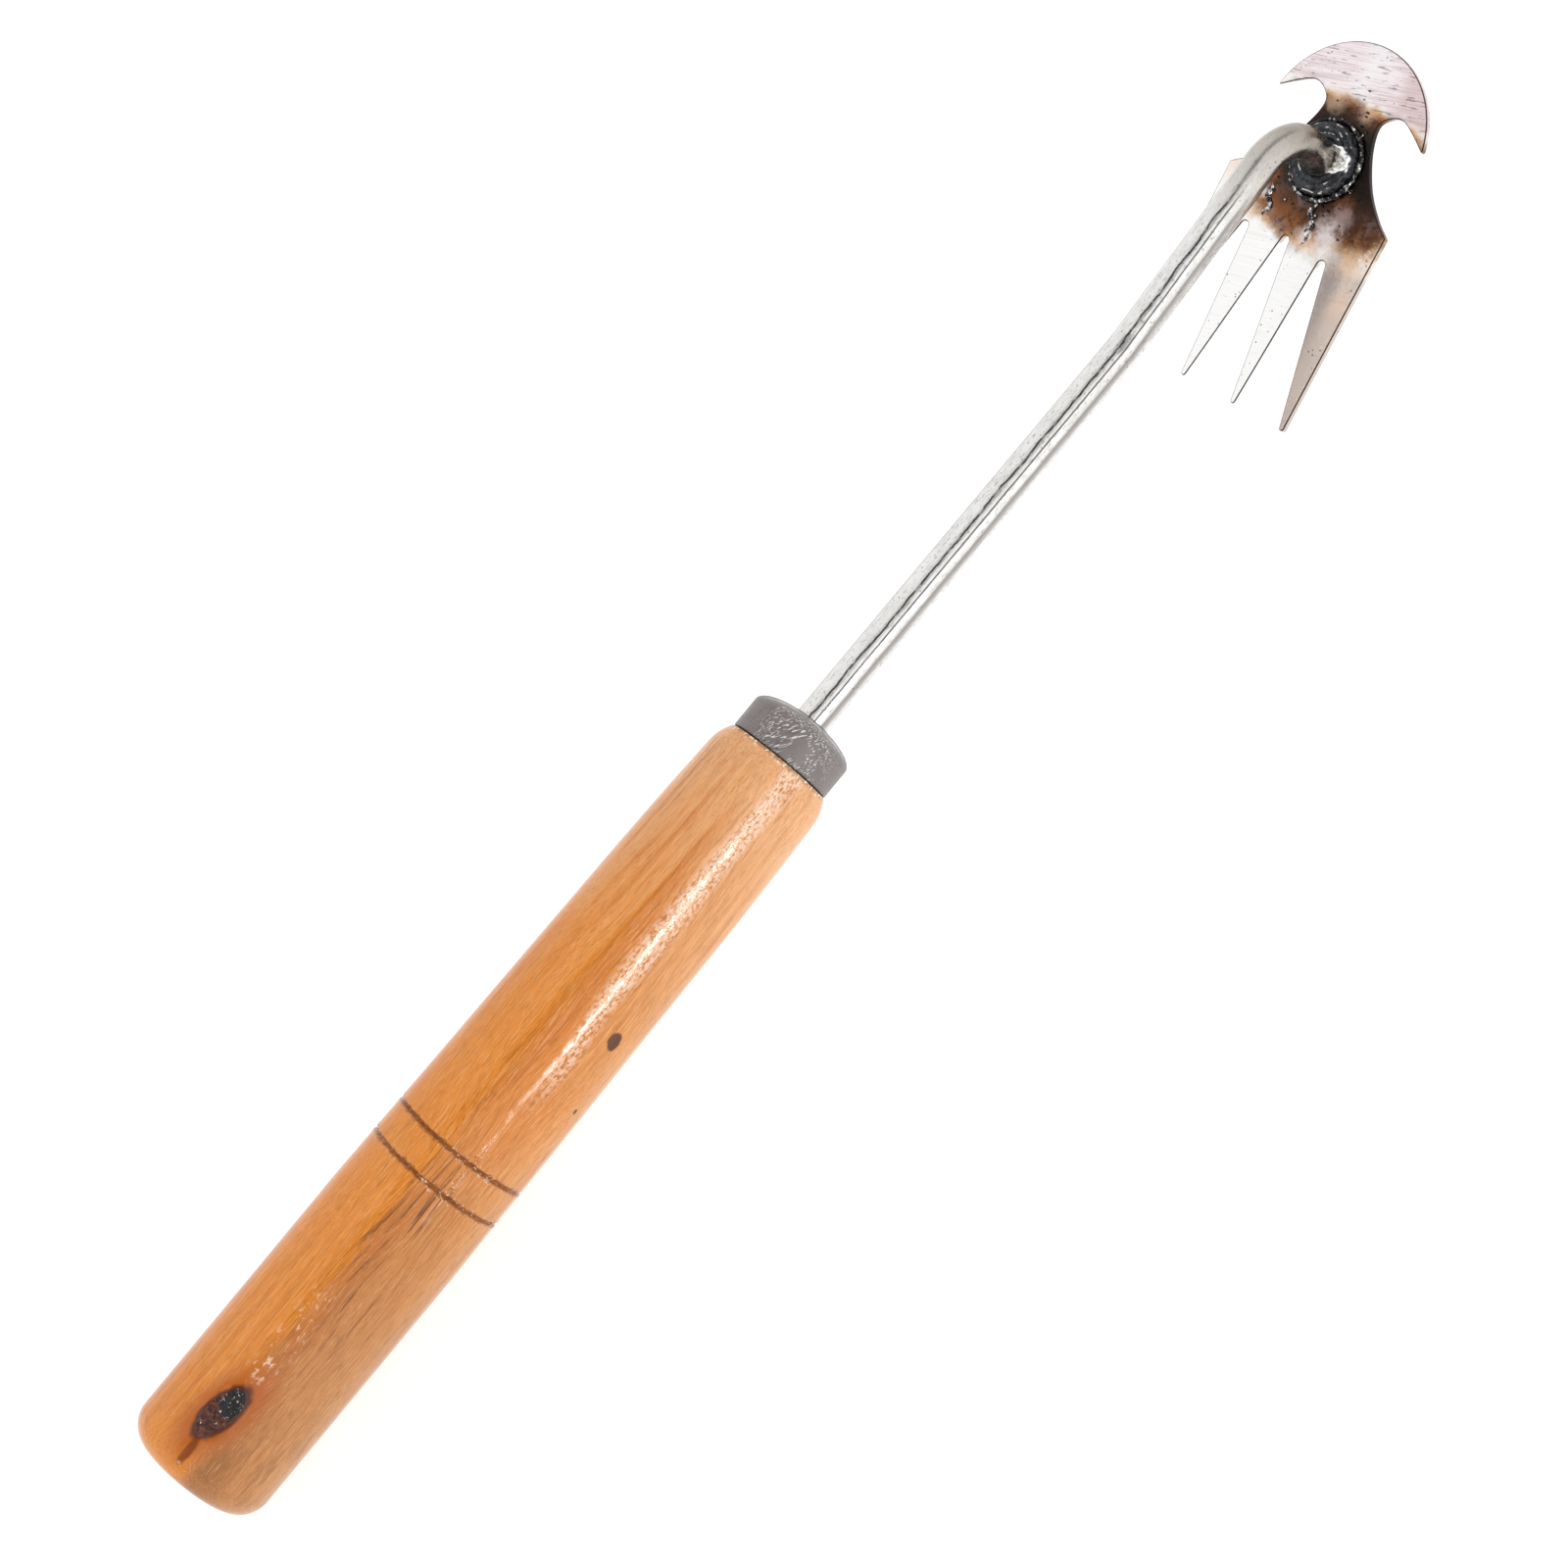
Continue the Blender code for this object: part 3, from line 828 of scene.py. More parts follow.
def build_spatter(finish):
    """Small beads of spatter stuck to the plate round the pad, and one at the neck's edge."""
    rng = np.random.default_rng(12)
    spots = [(-4.3, 8.0, 0.55)]
    while len(spots) < 34:
        angle, reach = rng.uniform(0, 360), 8.3 + rng.exponential(2.2)
        x, y = reach * math.cos(math.radians(angle)), reach * math.sin(math.radians(angle))
        on_neck = x < 0 and abs(y) < 5.6 and x > -15
        on_plate = 0 <= x < 15 and abs(y) < 8 + x * 0.8
        if on_neck or on_plate:
            spots.append((x, y, rng.uniform(0.10, 0.26)))
    bm = bmesh.new()
    for x, y, size in spots:
        place = Matrix.Translation((x, y, size * 0.45)) @ Matrix.Diagonal((1.0, 1.0, 0.8, 1.0))
        bmesh.ops.create_icosphere(bm, subdivisions=2, radius=size, matrix=place)
    return finish_piece("weld_spatter", bm, BLADE, finish)


# ---------------------------------------------------------------- materials
def wood_grain(s):
    """The values that the wood's layers share, by name."""
    x = s.axis("X")
    # Grain bends round the knot
    from_knot = s.vector("SUBTRACT", s.mm, tuple(KNOT))
    push = s.remap(s.reach(KNOT, (0.13, 0.30, 0.30)), 0.4, 2.4, 1.6, 0.0)
    away = s.vector("MULTIPLY", s.vector("NORMALIZE", from_knot), s.combine(0.0, push, push))
    bent = s.vector("ADD", s.mm, away)
    drift = s.swing(s.noise((0.012, 0.05, 0.05), bent, 2.0), 9.0)
    grain_place = s.vector("ADD", bent, s.combine(0.0, drift, drift))
    bands = s.noise((0.006, 0.30, 0.30), grain_place, 3.0, 0.55)
    blotches = s.noise((0.03, 0.07, 0.07), bent, 2.0)
    # Place across the side that lies upwards: -1 at +Y and below, +1 at -Y and below
    across = s.vector("DOT_PRODUCT", s.mm, (0.0, -0.0575, -0.0445))
    grey_edge = s.plus(across, s.swing(blotches, 1.3))
    grey = s.times(s.remap(grey_edge, -0.25, 0.25), s.remap(x, 92.0, 34.0))
    # Reach from the knot's middle along its own tilted oval: 1 at its rim
    facing = s.rotated("X_AXIS", math.radians(90 - KNOT_DEGREES), from_knot)
    level = s.rotated("Z_AXIS", -KNOT_TURN, facing)
    rough_edge = s.swing(s.noise((0.5, 0.5, 0.5), detail=4.0), 0.55)
    oval = s.vector("MULTIPLY", level, (1 / KNOT_SPAN[0], 1 / KNOT_SPAN[1], 0.12))
    knot = s.plus(s.vector("LENGTH", oval), s.times(rough_edge, 0.55))
    return SimpleNamespace(
        x=x,
        bent=bent,
        place=grain_place,
        bands=bands,
        blotches=blotches,
        across=across,
        grey_edge=grey_edge,
        grey=grey,
        rough_edge=rough_edge,
        knot=knot,
        in_knot=s.remap(knot, 1.02, 0.9),
    )


def paint_wood(s, grain):
    """Orange wood, paler near the ferrule, with bands, fibres and hairs, and a painted sheen along the -Y
    edge.
    """
    fibres = s.noise((0.035, 2.6, 2.6), grain.place, 4.0, 0.65)
    hairs = s.noise((0.11, 4.6, 4.6), grain.place, 3.0, 0.7)
    # Colour across the upward side; the paler last stop, at the -Y edge, is a painted sheen
    s.colour = s.ramp(
        s.remap(grain.across, -1.0, 1.0, smooth=False),
        [
            (0.0, (0.82, 0.275, 0.030)),
            (0.30, (0.80, 0.270, 0.030)),
            (0.48, (0.73, 0.245, 0.032)),
            (0.62, (0.66, 0.225, 0.040)),
            (0.85, (0.62, 0.245, 0.062)),
            (1.0, (0.72, 0.38, 0.16)),
        ],
    )
    paler = s.remap(s.plus(grain.x, s.swing(grain.bands, 90.0)), 105.0, 168.0)
    s.paint(s.times(paler, 0.74), (0.84, 0.49, 0.26))
    s.paint_where(grain.bands, 0.48, 0.70, 0.40, (0.76, 0.31, 0.085))
    s.paint_where(grain.bands, 0.50, 0.30, 0.55, (0.50, 0.135, 0.014))
    calm = s.remap(s.noise((0.02, 0.11, 0.11), grain.bent, 3.0), 0.40, 0.60, 0.35, 1.0)
    s.paint_where(fibres, 0.52, 0.66, 0.50, (0.40, 0.105, 0.014), calm)
    s.paint_where(fibres, 0.47, 0.33, 0.36, (0.92, 0.45, 0.16), calm)
    s.paint_where(hairs, 0.55, 0.64, 0.55, (0.30, 0.080, 0.012), calm)
    s.paint_where(hairs, 0.44, 0.33, 0.34, (0.94, 0.55, 0.26))
    s.paint_where(grain.blotches, 0.5, 0.75, 0.30, (0.70, 0.215, 0.03))


def paint_heartwood(s, grain):
    """Greyer heartwood on the lower side of the butt end, its dark streaks, and the pores."""
    x = grain.x
    s.paint(s.times(grain.grey, 0.64), (0.44, 0.200, 0.072))
    umber_side = s.remap(s.gap(grain.grey_edge, 0.25), 0.55, 0.1)
    s.paint(s.times(s.remap(x, 32.0, 9.0), umber_side, 0.70), (0.34, 0.125, 0.028))
    smudges = s.remap(s.noise((0.12, 0.45, 0.45), grain.place, 3.0, 0.6), 0.55, 0.68)
    s.paint(s.times(smudges, grain.grey, 0.50), (0.27, 0.105, 0.032))
    heart_line = s.plus(grain.across, s.swing(grain.bands, 0.35))
    heart = s.times(s.remap(s.gap(heart_line, 0.02), 0.30, 0.04), s.remap(x, 84.0, 52.0))
    heart = s.times(heart, s.remap(x, 16.0, 36.0))
    s.paint(s.times(heart, 0.58), (0.44, 0.115, 0.010))
    thin = s.remap(s.noise((0.06, 3.2, 3.2), grain.place, 4.0, 0.65), 0.53, 0.62)
    s.paint(s.times(thin, grain.grey, 0.42), (0.26, 0.105, 0.035))
    streaks = s.remap(s.noise((0.05, 1.7, 1.7), grain.place, 4.0, 0.65), 0.53, 0.64)
    streak_zone = s.times(s.remap(x, 92.0, 60.0), s.remap(x, 26.0, 46.0))
    near_heart = s.remap(s.gap(heart_line, 0.10), 0.55, 0.10)
    s.paint(s.times(streaks, streak_zone, near_heart, 0.92), (0.11, 0.028, 0.005))
    pores = s.noise((0.26, 5.4, 5.4), grain.place, 3.0, 0.65)
    needles = s.noise((0.30, 8.5, 8.5), grain.place, 3.0, 0.7)
    s.paint_where(pores, 0.59, 0.70, 0.62, (0.22, 0.070, 0.016))
    s.paint_where(needles, 0.54, 0.64, 0.42, (0.28, 0.085, 0.016))
    s.paint_where(needles, 0.44, 0.35, 0.30, (0.98, 0.60, 0.32))


def paint_knot(s, grain):
    """Halo, rim, bark and core of the knot with painted glints, and pale blisters in the varnish above it.
    """
    s.paint_where(grain.knot, 2.7, 1.1, 0.85, (0.43, 0.098, 0.010))
    s.paint_where(grain.knot, 1.28, 1.02, 0.95, (0.07, 0.014, 0.006))
    bark = s.ramp(
        s.noise((1.5, 1.5, 1.5), detail=5.0),
        [(0.38, (0.018, 0.005, 0.003)), (0.56, (0.095, 0.020, 0.008)), (0.74, (0.22, 0.055, 0.022))],
    )
    # Pale specks in the bark are painted glints
    glint_specks = s.noise((1.15, 1.15, 1.15), detail=5.0, roughness=0.7)
    bark = s.mix(s.remap(glint_specks, 0.635, 0.68, 0.0, 0.9), bark, (0.86, 0.74, 0.66))
    s.paint(grain.in_knot, bark)
    core_reach = s.plus(s.reach(KNOT_CORE, (0.33, 0.44, 0.44)), grain.rough_edge)
    # The pale specks in the black core are painted glints
    glints = s.remap(s.noise((1.7, 1.7, 1.7), detail=4.0, roughness=0.75), 0.585, 0.64)
    core = s.mix(glints, (0.006, 0.004, 0.004), (0.96, 0.92, 0.88))
    s.paint(s.times(s.remap(core_reach, 1.05, 0.85), grain.in_knot), core)
    blisters = s.remap(s.noise((0.55, 0.95, 0.95), detail=5.0, roughness=0.65), 0.56, 0.61)
    blister_line = s.remap(s.gap(grain.across, -0.12), 0.26, 0.06)
    blister_stretch = s.times(s.remap(grain.x, 22.0, 27.0), s.remap(grain.x, 48.0, 38.0))
    s.paint(s.times(blisters, blister_line, blister_stretch, 0.62), (0.96, 0.72, 0.54))


def paint_marks_and_highlights(s, grain):
    """The crease from the knot to the butt, the small dark spots, and a painted glint and a painted crazed
    highlight.
    """
    crease = s.reach(on_handle(CREASE_X, CREASE_DEGREES), (0.21, 1.1, 1.1))
    s.paint_where(s.plus(crease, grain.rough_edge), 1.1, 0.5, 0.75, (0.16, 0.035, 0.010))
    # A painted glint at the crease's end
    glint_reach = s.plus(s.reach(on_handle(5.4, 117.0)), grain.rough_edge)
    s.paint_where(glint_reach, 0.65, 0.30, 0.70, (0.86, 0.70, 0.58))
    for centre, size in ((SPOT, 1.25), (PINHOLE, 0.42)):
        spot = s.math("DIVIDE", s.reach(centre, (0.8, 1.0, 1.0)), size)
        spot = s.plus(spot, s.times(grain.rough_edge, 2.0))
        s.paint_where(spot, 1.25, 0.85, 0.92, (0.075, 0.022, 0.010))
    # Painted highlight: a pale crazed streak with dark specks, along the varnish where the softbox shines
    highlight_line = s.gap(grain.across, s.remap(grain.x, 116.0, 90.0, 0.265, 0.375))
    highlight_line = s.plus(highlight_line, s.swing(grain.blotches, 0.25))
    highlight_mask = s.times(s.remap(highlight_line, 0.19, 0.06), s.remap(grain.x, 84.0, 104.0))
    highlight_crackle = s.noise((1.1, 2.0, 2.0), detail=4.0, roughness=0.7)
    s.paint_where(highlight_crackle, 0.45, 0.54, 0.55, (0.98, 0.80, 0.66), highlight_mask)
    s.paint_where(highlight_crackle, 0.41, 0.34, 0.75, (0.20, 0.075, 0.02), highlight_mask)


def paint_grooves_and_ends(s, grain):
    """The scored grooves with painted glints beside them, the joint at the ferrule and the butt's dark
    edge.
    """
    x = grain.x
    # Painted glints: pale flecks by the grooves, strongest along the varnish highlight
    glint_specks = s.remap(s.noise((1.3, 1.3, 1.3), detail=4.0, roughness=0.75), 0.565, 0.62)
    glint_specks = s.times(glint_specks, s.remap(s.gap(grain.across, 0.18), 0.60, 0.22, 0.25, 0.90))
    lean = s.vector("DOT_PRODUCT", s.mm, (0.0, 0.0437, -0.0559))
    ragged = s.swing(s.noise((0.9, 0.9, 0.9), detail=5.0), 1.5)
    for groove in GROOVES:
        off = s.minus(s.minus(x, groove), lean)
        off = s.math("ABSOLUTE", s.plus(off, ragged))
        s.paint_where(off, 0.80, 0.26, 0.78, (0.25, 0.078, 0.016))
        s.paint(s.times(s.remap(off, 1.2, 0.5), glint_specks), (0.96, 0.76, 0.60))
    s.paint_where(x, HANDLE_END - 0.9, HANDLE_END - 0.1, 0.6, (0.20, 0.08, 0.03))
    ticks = s.remap(s.noise((1.2, 1.6, 1.6), detail=3.0), 0.53, 0.60)
    s.paint_where(x, HANDLE_END - 1.1, HANDLE_END - 0.6, 0.85, (0.96, 0.80, 0.58), ticks)
    s.paint_where(x, 1.8, 0.5, 0.62, (0.15, 0.050, 0.014))


def add_varnish(s, grain):
    """A glossy coat with its own brush marks and crackle, over the open grain."""
    open_grain = s.bump(s.noise((0.10, 2.2, 2.2), grain.place, 4.0, 0.7), 0.10, 0.5)
    peel = s.noise((0.22, 0.35, 0.35), detail=2.0, roughness=0.5)
    crazed = s.remap(s.noise((0.10, 0.22, 0.22), detail=3.0), 0.44, 0.58, 0.40, 1.0)
    crackle = s.times(s.noise((1.5, 2.4, 2.4), detail=4.0, roughness=0.7), crazed)
    pitted = s.times(grain.in_knot, s.noise((1.5, 1.5, 1.5), detail=4.0))
    coat_normal = s.bump(peel, 0.12, 0.7)
    coat_normal = s.bump(crackle, 0.024, 1.0, coat_normal)
    s.set("Normal", open_grain)
    s.set("Coat Normal", s.bump(pitted, 0.8, 1.0, coat_normal))
    s.set("Specular IOR Level", 0.0)
    s.set("Coat Weight", 0.8)
    s.set("Coat Roughness", 0.06)
    s.set("Coat IOR", 1.5)


def wood_material():
    s = Shader("varnished_turned_wood", roughness=0.42)
    grain = wood_grain(s)
    for paint_layer in (paint_wood, paint_heartwood, paint_knot, paint_marks_and_highlights, paint_grooves_and_ends):
        paint_layer(s, grain)
    s.set("Base Color", s.colour)
    add_varnish(s, grain)
    return s.material


def ferrule_material():
    s = Shader("satin_grey_ferrule", roughness=0.42)
    mottle = s.noise((0.5, 0.5, 0.5), detail=5.0, roughness=0.6)
    s.colour = s.ramp(mottle, [(0.3, (0.158, 0.136, 0.131)), (0.7, (0.205, 0.178, 0.172))])
    tilted = s.rotated("AXIS_ANGLE", math.radians(34), axis=(0.0, -0.6, 0.8))
    across = s.vector("DOT_PRODUCT", s.mm, (0.0, -0.0765, -0.0598))
    off_middle = s.math("ABSOLUTE", across)
    patches = s.remap(s.noise((0.20, 0.30, 0.30), detail=2.0), 0.42, 0.50)
    patches = s.times(patches, s.remap(off_middle, 0.80, 0.45, 0.15, 1.0))
    scratches = s.remap(s.noise((0.60, 5.5, 5.5), tilted, 0.0), 0.61, 0.66)
    scratches = s.times(scratches, patches)
    dark_scratches = s.remap(s.noise((0.60, 4.4, 4.4), tilted, 0.0), 0.36, 0.31)
    s.paint(s.times(dark_scratches, patches, 0.75), (0.085, 0.072, 0.070))
    s.paint(s.times(scratches, 0.85), (0.74, 0.71, 0.70))
    s.paint_where(s.noise((4.0, 0.35, 0.35), detail=2.0), 0.68, 0.78, 0.5, (0.13, 0.11, 0.105))
    # Painted light on the end's rim, on the upper side: a painted highlight line, with a dark line of
    # painted shade outside it
    arch = s.math("SQRT", s.math("MAXIMUM", s.minus(1.0, s.times(across, across)), 0.0))
    rim_x = s.minus(s.axis("X"), s.times(arch, 3.5))
    upper = s.times(s.remap(off_middle, 0.94, 0.78), s.remap(s.axis("Z"), -4.0, 0.0))
    outline = s.remap(s.gap(rim_x, FERRULE_SIDE_END - 0.28), 0.34, 0.12)
    rim_highlight = s.remap(s.gap(rim_x, FERRULE_SIDE_END - 0.74), 0.26, 0.12)
    rim_highlight = s.times(rim_highlight, s.remap(mottle, 0.44, 0.54, 0.20, 1.0))
    s.paint(s.times(outline, upper, 0.65), (0.060, 0.052, 0.050))
    s.paint(s.times(rim_highlight, upper, 0.60), (0.66, 0.63, 0.61))
    s.set("Base Color", s.colour)
    s.set("Roughness", s.remap(mottle, 0.3, 0.7, 0.34, 0.50))
    s.set("Normal", s.bump(s.plus(scratches, s.times(mottle, 0.4)), 0.05, 0.6))
    return s.material


# Painted reflections and shade down the rod: place across it (-1 to 1), reach, strength, colour and how
# far the line wanders
ROD_PAINTED_REFLECTIONS = (
    (0.66, 0.24, 0.75, (0.34, 0.315, 0.295), 0.10),
    (0.62, 0.10, 0.45, (0.20, 0.185, 0.175), 0.10),
    (0.11, 0.070, 0.92, (0.10, 0.10, 0.097), 0.06),
    (-0.25, 0.075, 0.95, (0.030, 0.030, 0.029), 0.55),
    (-0.98, 0.10, 0.50, (0.30, 0.28, 0.265), 0.0),
)


def rod_material():
    s = Shader("drawn_zinc_rod", metallic=1.0, roughness=0.2)
    x, y, z = (s.axis(name) for name in "XYZ")
    spangle = s.noise((0.35, 0.8, 0.8), detail=5.0, roughness=0.6)
    streaks = s.noise((0.05, 2.4, 2.4), detail=4.0, roughness=0.7)
    speckle = s.noise((1.1, 2.6, 2.6), detail=3.0, roughness=0.7)
    s.colour = s.ramp(spangle, [(0.3, (0.72, 0.705, 0.685)), (0.7, (0.90, 0.885, 0.87))])
    s.paint_where(streaks, 0.60, 0.72, 0.40, (0.34, 0.33, 0.32))
    s.paint_where(speckle, 0.56, 0.66, 0.60, (0.26, 0.235, 0.225))
    s.paint_where(x, 285.0, 306.0, 0.75, (0.43, 0.385, 0.335))
    # Painted reflections and painted shade that run down the wire: dark lines and grey edges, by place
    # across it
    middle = s.times(s.minus(x, FERRULE_EXIT), -0.007)
    rise = s.times(s.math("MAXIMUM", s.minus(x, 260.0), 0.0), 0.098)
    height = s.minus(s.minus(z, middle), rise)
    across = s.plus(s.times(y, -0.2425), s.times(height, -0.1895))
    wander = s.minus(s.noise((0.10, 0.0, 0.0), detail=4.0, roughness=0.65), 0.5)
    straight_part = s.remap(x, 298.0, 290.0)
    broken = s.remap(s.noise((0.45, 0.0, 0.0), detail=3.0), 0.36, 0.52, 0.35, 1.0)
    for place, reach, depth, tone, sway in ROD_PAINTED_REFLECTIONS:
        gap = s.plus(s.minus(across, place), s.times(wander, sway))
        gap = s.math("ABSOLUTE", gap)
        shown = s.times(straight_part, broken) if sway > 0.2 else straight_part
        s.paint_where(gap, reach, reach * 0.3, depth, tone, shown)
    s.paint_where(x, 303.5, 312.0, 0.55, (0.22, 0.185, 0.15))
    pit_zone = s.remap(s.noise((0.12, 0.25, 0.25), detail=2.0), 0.56, 0.70)
    pits = s.times(s.remap(s.cells((0.85, 1.5, 1.5)), 0.20, 0.12), pit_zone)
    s.paint(s.times(pits, 0.8), (0.10, 0.09, 0.08))
    s.set("Base Color", s.colour)
    s.set("Roughness", s.remap(spangle, 0.3, 0.7, 0.16, 0.30))
    normal = s.bump(streaks, 0.05, 0.6)
    normal = s.bump(s.noise((0.25, 1.6, 1.6), detail=4.0, roughness=0.65), 0.05, 0.6, normal)
    s.set("Normal", s.bump(pits, -0.10, 0.9, normal))
    return s.material


ORANGE_BROWN = (0.30, 0.115, 0.045)
DEEP_BROWN = (0.075, 0.036, 0.024)
PALE_ORANGE = (0.88, 0.62, 0.44)
PINK_WHITE = (0.90, 0.84, 0.83)
PINK_GREY = (0.52, 0.40, 0.39)
# Blade x, y, reach, strength and colour of the heat's patches
HEAT_PATCHES = (
    (-10.4, 3.6, 2.0, 0.45, PALE_ORANGE),
    (-10.8, -4.4, 2.6, 0.40, PALE_ORANGE),
    (10.4, -4.4, 3.0, 0.75, ORANGE_BROWN),
    (9.2, -4.4, 2.2, 0.85, DEEP_BROWN),
    (6.6, -9.6, 2.4, 0.70, ORANGE_BROWN),
    (8.4, 11.8, 4.2, 0.80, DEEP_BROWN),
    (8.8, 17.2, 3.2, 0.75, DEEP_BROWN),
    (6.2, 8.0, 3.0, 0.42, ORANGE_BROWN),
    (11.4, 6.6, 3.0, 0.62, PINK_GREY),
    (14.8, 15.2, 3.4, 0.55, PALE_ORANGE),
    (22.0, 17.6, 3.6, 0.35, PALE_ORANGE),
    (15.0, 4.8, 2.4, 0.40, PALE_ORANGE),
    (14.3, -10.1, 2.4, 0.50, PALE_ORANGE),
    (7.6, -17.0, 4.6, 0.55, PALE_ORANGE),
    (9.8, -9.4, 1.5, 0.70, PINK_WHITE),
    (8.8, 8.8, 2.9, 0.62, PINK_GREY),
    (12.8, 8.4, 3.4, 0.85, PINK_WHITE),
    (13.6, 3.4, 2.2, 0.55, PINK_WHITE),
)


def steel_heat(s, x, y, cloud, fine_cloud):
    """Distance from the weld's heat, flatter towards the corners and steeper at the neck."""
    to_tips = s.times(s.math("MAXIMUM", x, 0.0), 0.056)
    past_pad = s.math("MAXIMUM", s.minus(s.times(x, -1.0), 4.6), 0.0)
    to_right = s.times(s.math("MAXIMUM", y, 0.0), 0.030)
    to_left = s.times(s.math("MINIMUM", y, 0.0), 0.046)
    along_part = s.plus(to_tips, s.times(past_pad, 0.118))
    heat = s.vector("LENGTH", s.combine(along_part, s.plus(to_right, to_left), 0.0))
    return s.plus(heat, s.times(cloud, 0.50), s.times(fine_cloud, 0.14))


def plain_steel(s, x, y, cloud, brushed, on_crescent):
    """Brushed steel away from the welds: silver tines, a pink crescent with a painted sheen, and a painted
    reflection on the right tine.
    """
    silver = s.mix(s.remap(brushed, 0.35, 0.7), (0.975, 0.97, 0.955), (0.94, 0.93, 0.92))
    s.colour = s.mix(s.remap(brushed, 0.42, 0.62), (0.925, 0.81, 0.835), (0.67, 0.54, 0.56))
    s.paint_where(s.plus(y, s.times(cloud, 9.0)), 4.5, 11.0, 0.62, (0.56, 0.37, 0.36))
    # Painted sheen: a pale band down the middle of the crescent
    sheen = s.math("ABSOLUTE", s.plus(y, s.times(cloud, 10.0)))
    s.paint_where(sheen, 4.5, 0.5, 0.7, (0.90, 0.88, 0.89))
    s.colour = s.mix(s.times(on_crescent, 0.85), silver, s.colour)
    # Painted reflection on the right tine: darker on its inner side, paler on its outer side
    right_tine_reflection = s.times(s.remap(y, 9.4, 11.8), s.remap(x, 10.0, 18.0))
    tine_reflection_tone = s.mix(s.remap(y, 13.2, 16.8), (0.43, 0.365, 0.335), (0.60, 0.50, 0.44))
    s.paint(s.times(right_tine_reflection, 0.9), tine_reflection_tone)
    return s.colour


def tinted_steel(s, heat):
    """The heat's colours from the weld outwards, with lilac clouds and soot."""
    s.colour = s.ramp(
        s.remap(heat, 0.20, 1.05, smooth=False),
        [
            (0.0, (0.022, 0.018, 0.017)),
            (0.22, (0.036, 0.025, 0.021)),
            (0.40, (0.070, 0.036, 0.022)),
            (0.55, (0.150, 0.062, 0.028)),
            (0.66, (0.330, 0.145, 0.062)),
            (0.75, (0.620, 0.400, 0.230)),
            (0.85, (0.840, 0.730, 0.640)),
            (1.0, (0.930, 0.910, 0.890)),
        ],
    )
    lilac = s.remap(heat, 0.40, 0.60)
    s.paint_where(s.noise((0.20, 0.20, 0.20), detail=4.0), 0.48, 0.64, 0.50, (0.20, 0.155, 0.16), lilac)
    soot = s.noise((0.85, 0.85, 0.85), detail=5.0, roughness=0.7)
    s.paint_where(soot, 0.50, 0.64, 0.75, (0.020, 0.015, 0.014), s.remap(heat, 0.95, 0.70))
    return s.colour


def blade_material():
    s = Shader("heat_tinted_stainless", metallic=1.0, roughness=0.25)
    x, y = s.axis("X"), s.axis("Y")
    cloud = s.minus(s.noise((0.16, 0.16, 0.16), detail=4.0, roughness=0.55), 0.5)
    fine_cloud = s.minus(s.noise((0.7, 0.7, 0.7), detail=4.0, roughness=0.6), 0.5)
    heat = steel_heat(s, x, y, cloud, fine_cloud)
    brush_way = s.rotated("Z_AXIS", math.radians(-12))
    brushed = s.noise((2.6, 0.07, 1.0), brush_way, 4.0, 0.7)
    on_crescent = s.remap(s.plus(x, s.times(cloud, 7.0)), -10.2, -12.6)
    plain = plain_steel(s, x, y, cloud, brushed, on_crescent)
    s.colour = s.mix(s.remap(heat, 0.86, 1.04), tinted_steel(s, heat), plain)
    ragged = s.times(s.plus(cloud, fine_cloud), 1.5)
    for place_x, place_y, reach, strength, tone in HEAT_PATCHES:
        gap = s.vector("LENGTH", s.combine(s.minus(x, place_x), s.minus(y, place_y), 0.0))
        gap = s.plus(s.math("DIVIDE", gap, reach), ragged)
        s.paint_where(gap, 1.25, 0.10, strength, tone)
    dashes = s.remap(s.noise((2.4, 0.26, 1.0), brush_way, 3.0, 0.6), 0.60, 0.66)
    scratch = s.remap(s.noise((1.3, 0.05, 1.0), brush_way, 2.0), 0.64, 0.72)
    scratch = s.times(s.math("MAXIMUM", scratch, dashes), s.remap(on_crescent, 0.0, 1.0, 0.10, 1.0))
    s.paint(s.times(scratch, 0.62), (0.16, 0.125, 0.125))
    specks = s.remap(s.cells((0.85, 0.85, 0.85)), 0.17, 0.09)
    speck_zone = s.remap(s.noise((0.3, 0.3, 0.3), detail=2.0), 0.46, 0.62)
    s.paint(s.times(specks, speck_zone, 0.85), (0.05, 0.04, 0.04))
    # A dark line on the upper bevel round the plate is painted shade of the rounded edge, and the sides
    # below it are bare metal
    facing = s.axis("Z", s.node("ShaderNodeTexCoord").outputs["Normal"])
    bevel_shade = s.times(s.remap(facing, 0.985, 0.94), s.remap(facing, 0.20, 0.34))
    s.paint(s.times(bevel_shade, 0.92), (0.030, 0.024, 0.023))
    s.set("Base Color", s.colour)
    s.set("Roughness", s.remap(heat, 0.5, 1.1, 0.34, 0.20))
    normal = s.bump(brushed, 0.012, 0.45)
    normal = s.bump(scratch, -0.06, 0.8, normal)
    s.set("Normal", s.bump(fine_cloud, 0.12, 0.35, normal))
    return s.material


def weld_material(name, dark, light, roughness, grain, low, bright_way=None):
    """Scaly weld metal; bright_way is a direction from the rod's foot that keeps the bright skin."""
    s = Shader(name, metallic=1.0, roughness=roughness)
    cloud = s.noise((0.9, 0.9, 0.9), detail=5.0, roughness=0.65)
    bright = s.remap(cloud, low, low + 0.16)
    if bright_way:
        flat = s.vector("NORMALIZE", s.vector("MULTIPLY", s.mm, (1.0, 1.0, 0.0)))
        bright = s.times(bright, s.remap(s.vector("DOT_PRODUCT", flat, bright_way), 0.60, 0.78))
    s.colour = s.mix(bright, dark, light)
    pits = s.remap(s.cells((1.6, 1.6, 1.6)), 0.14, 0.06)
    s.paint(s.times(pits, 0.6), (0.02, 0.016, 0.015))
    s.set("Base Color", s.colour)
    s.set("Normal", s.bump(s.minus(cloud, s.times(pits, 0.3)), grain, 0.8))
    return s.material


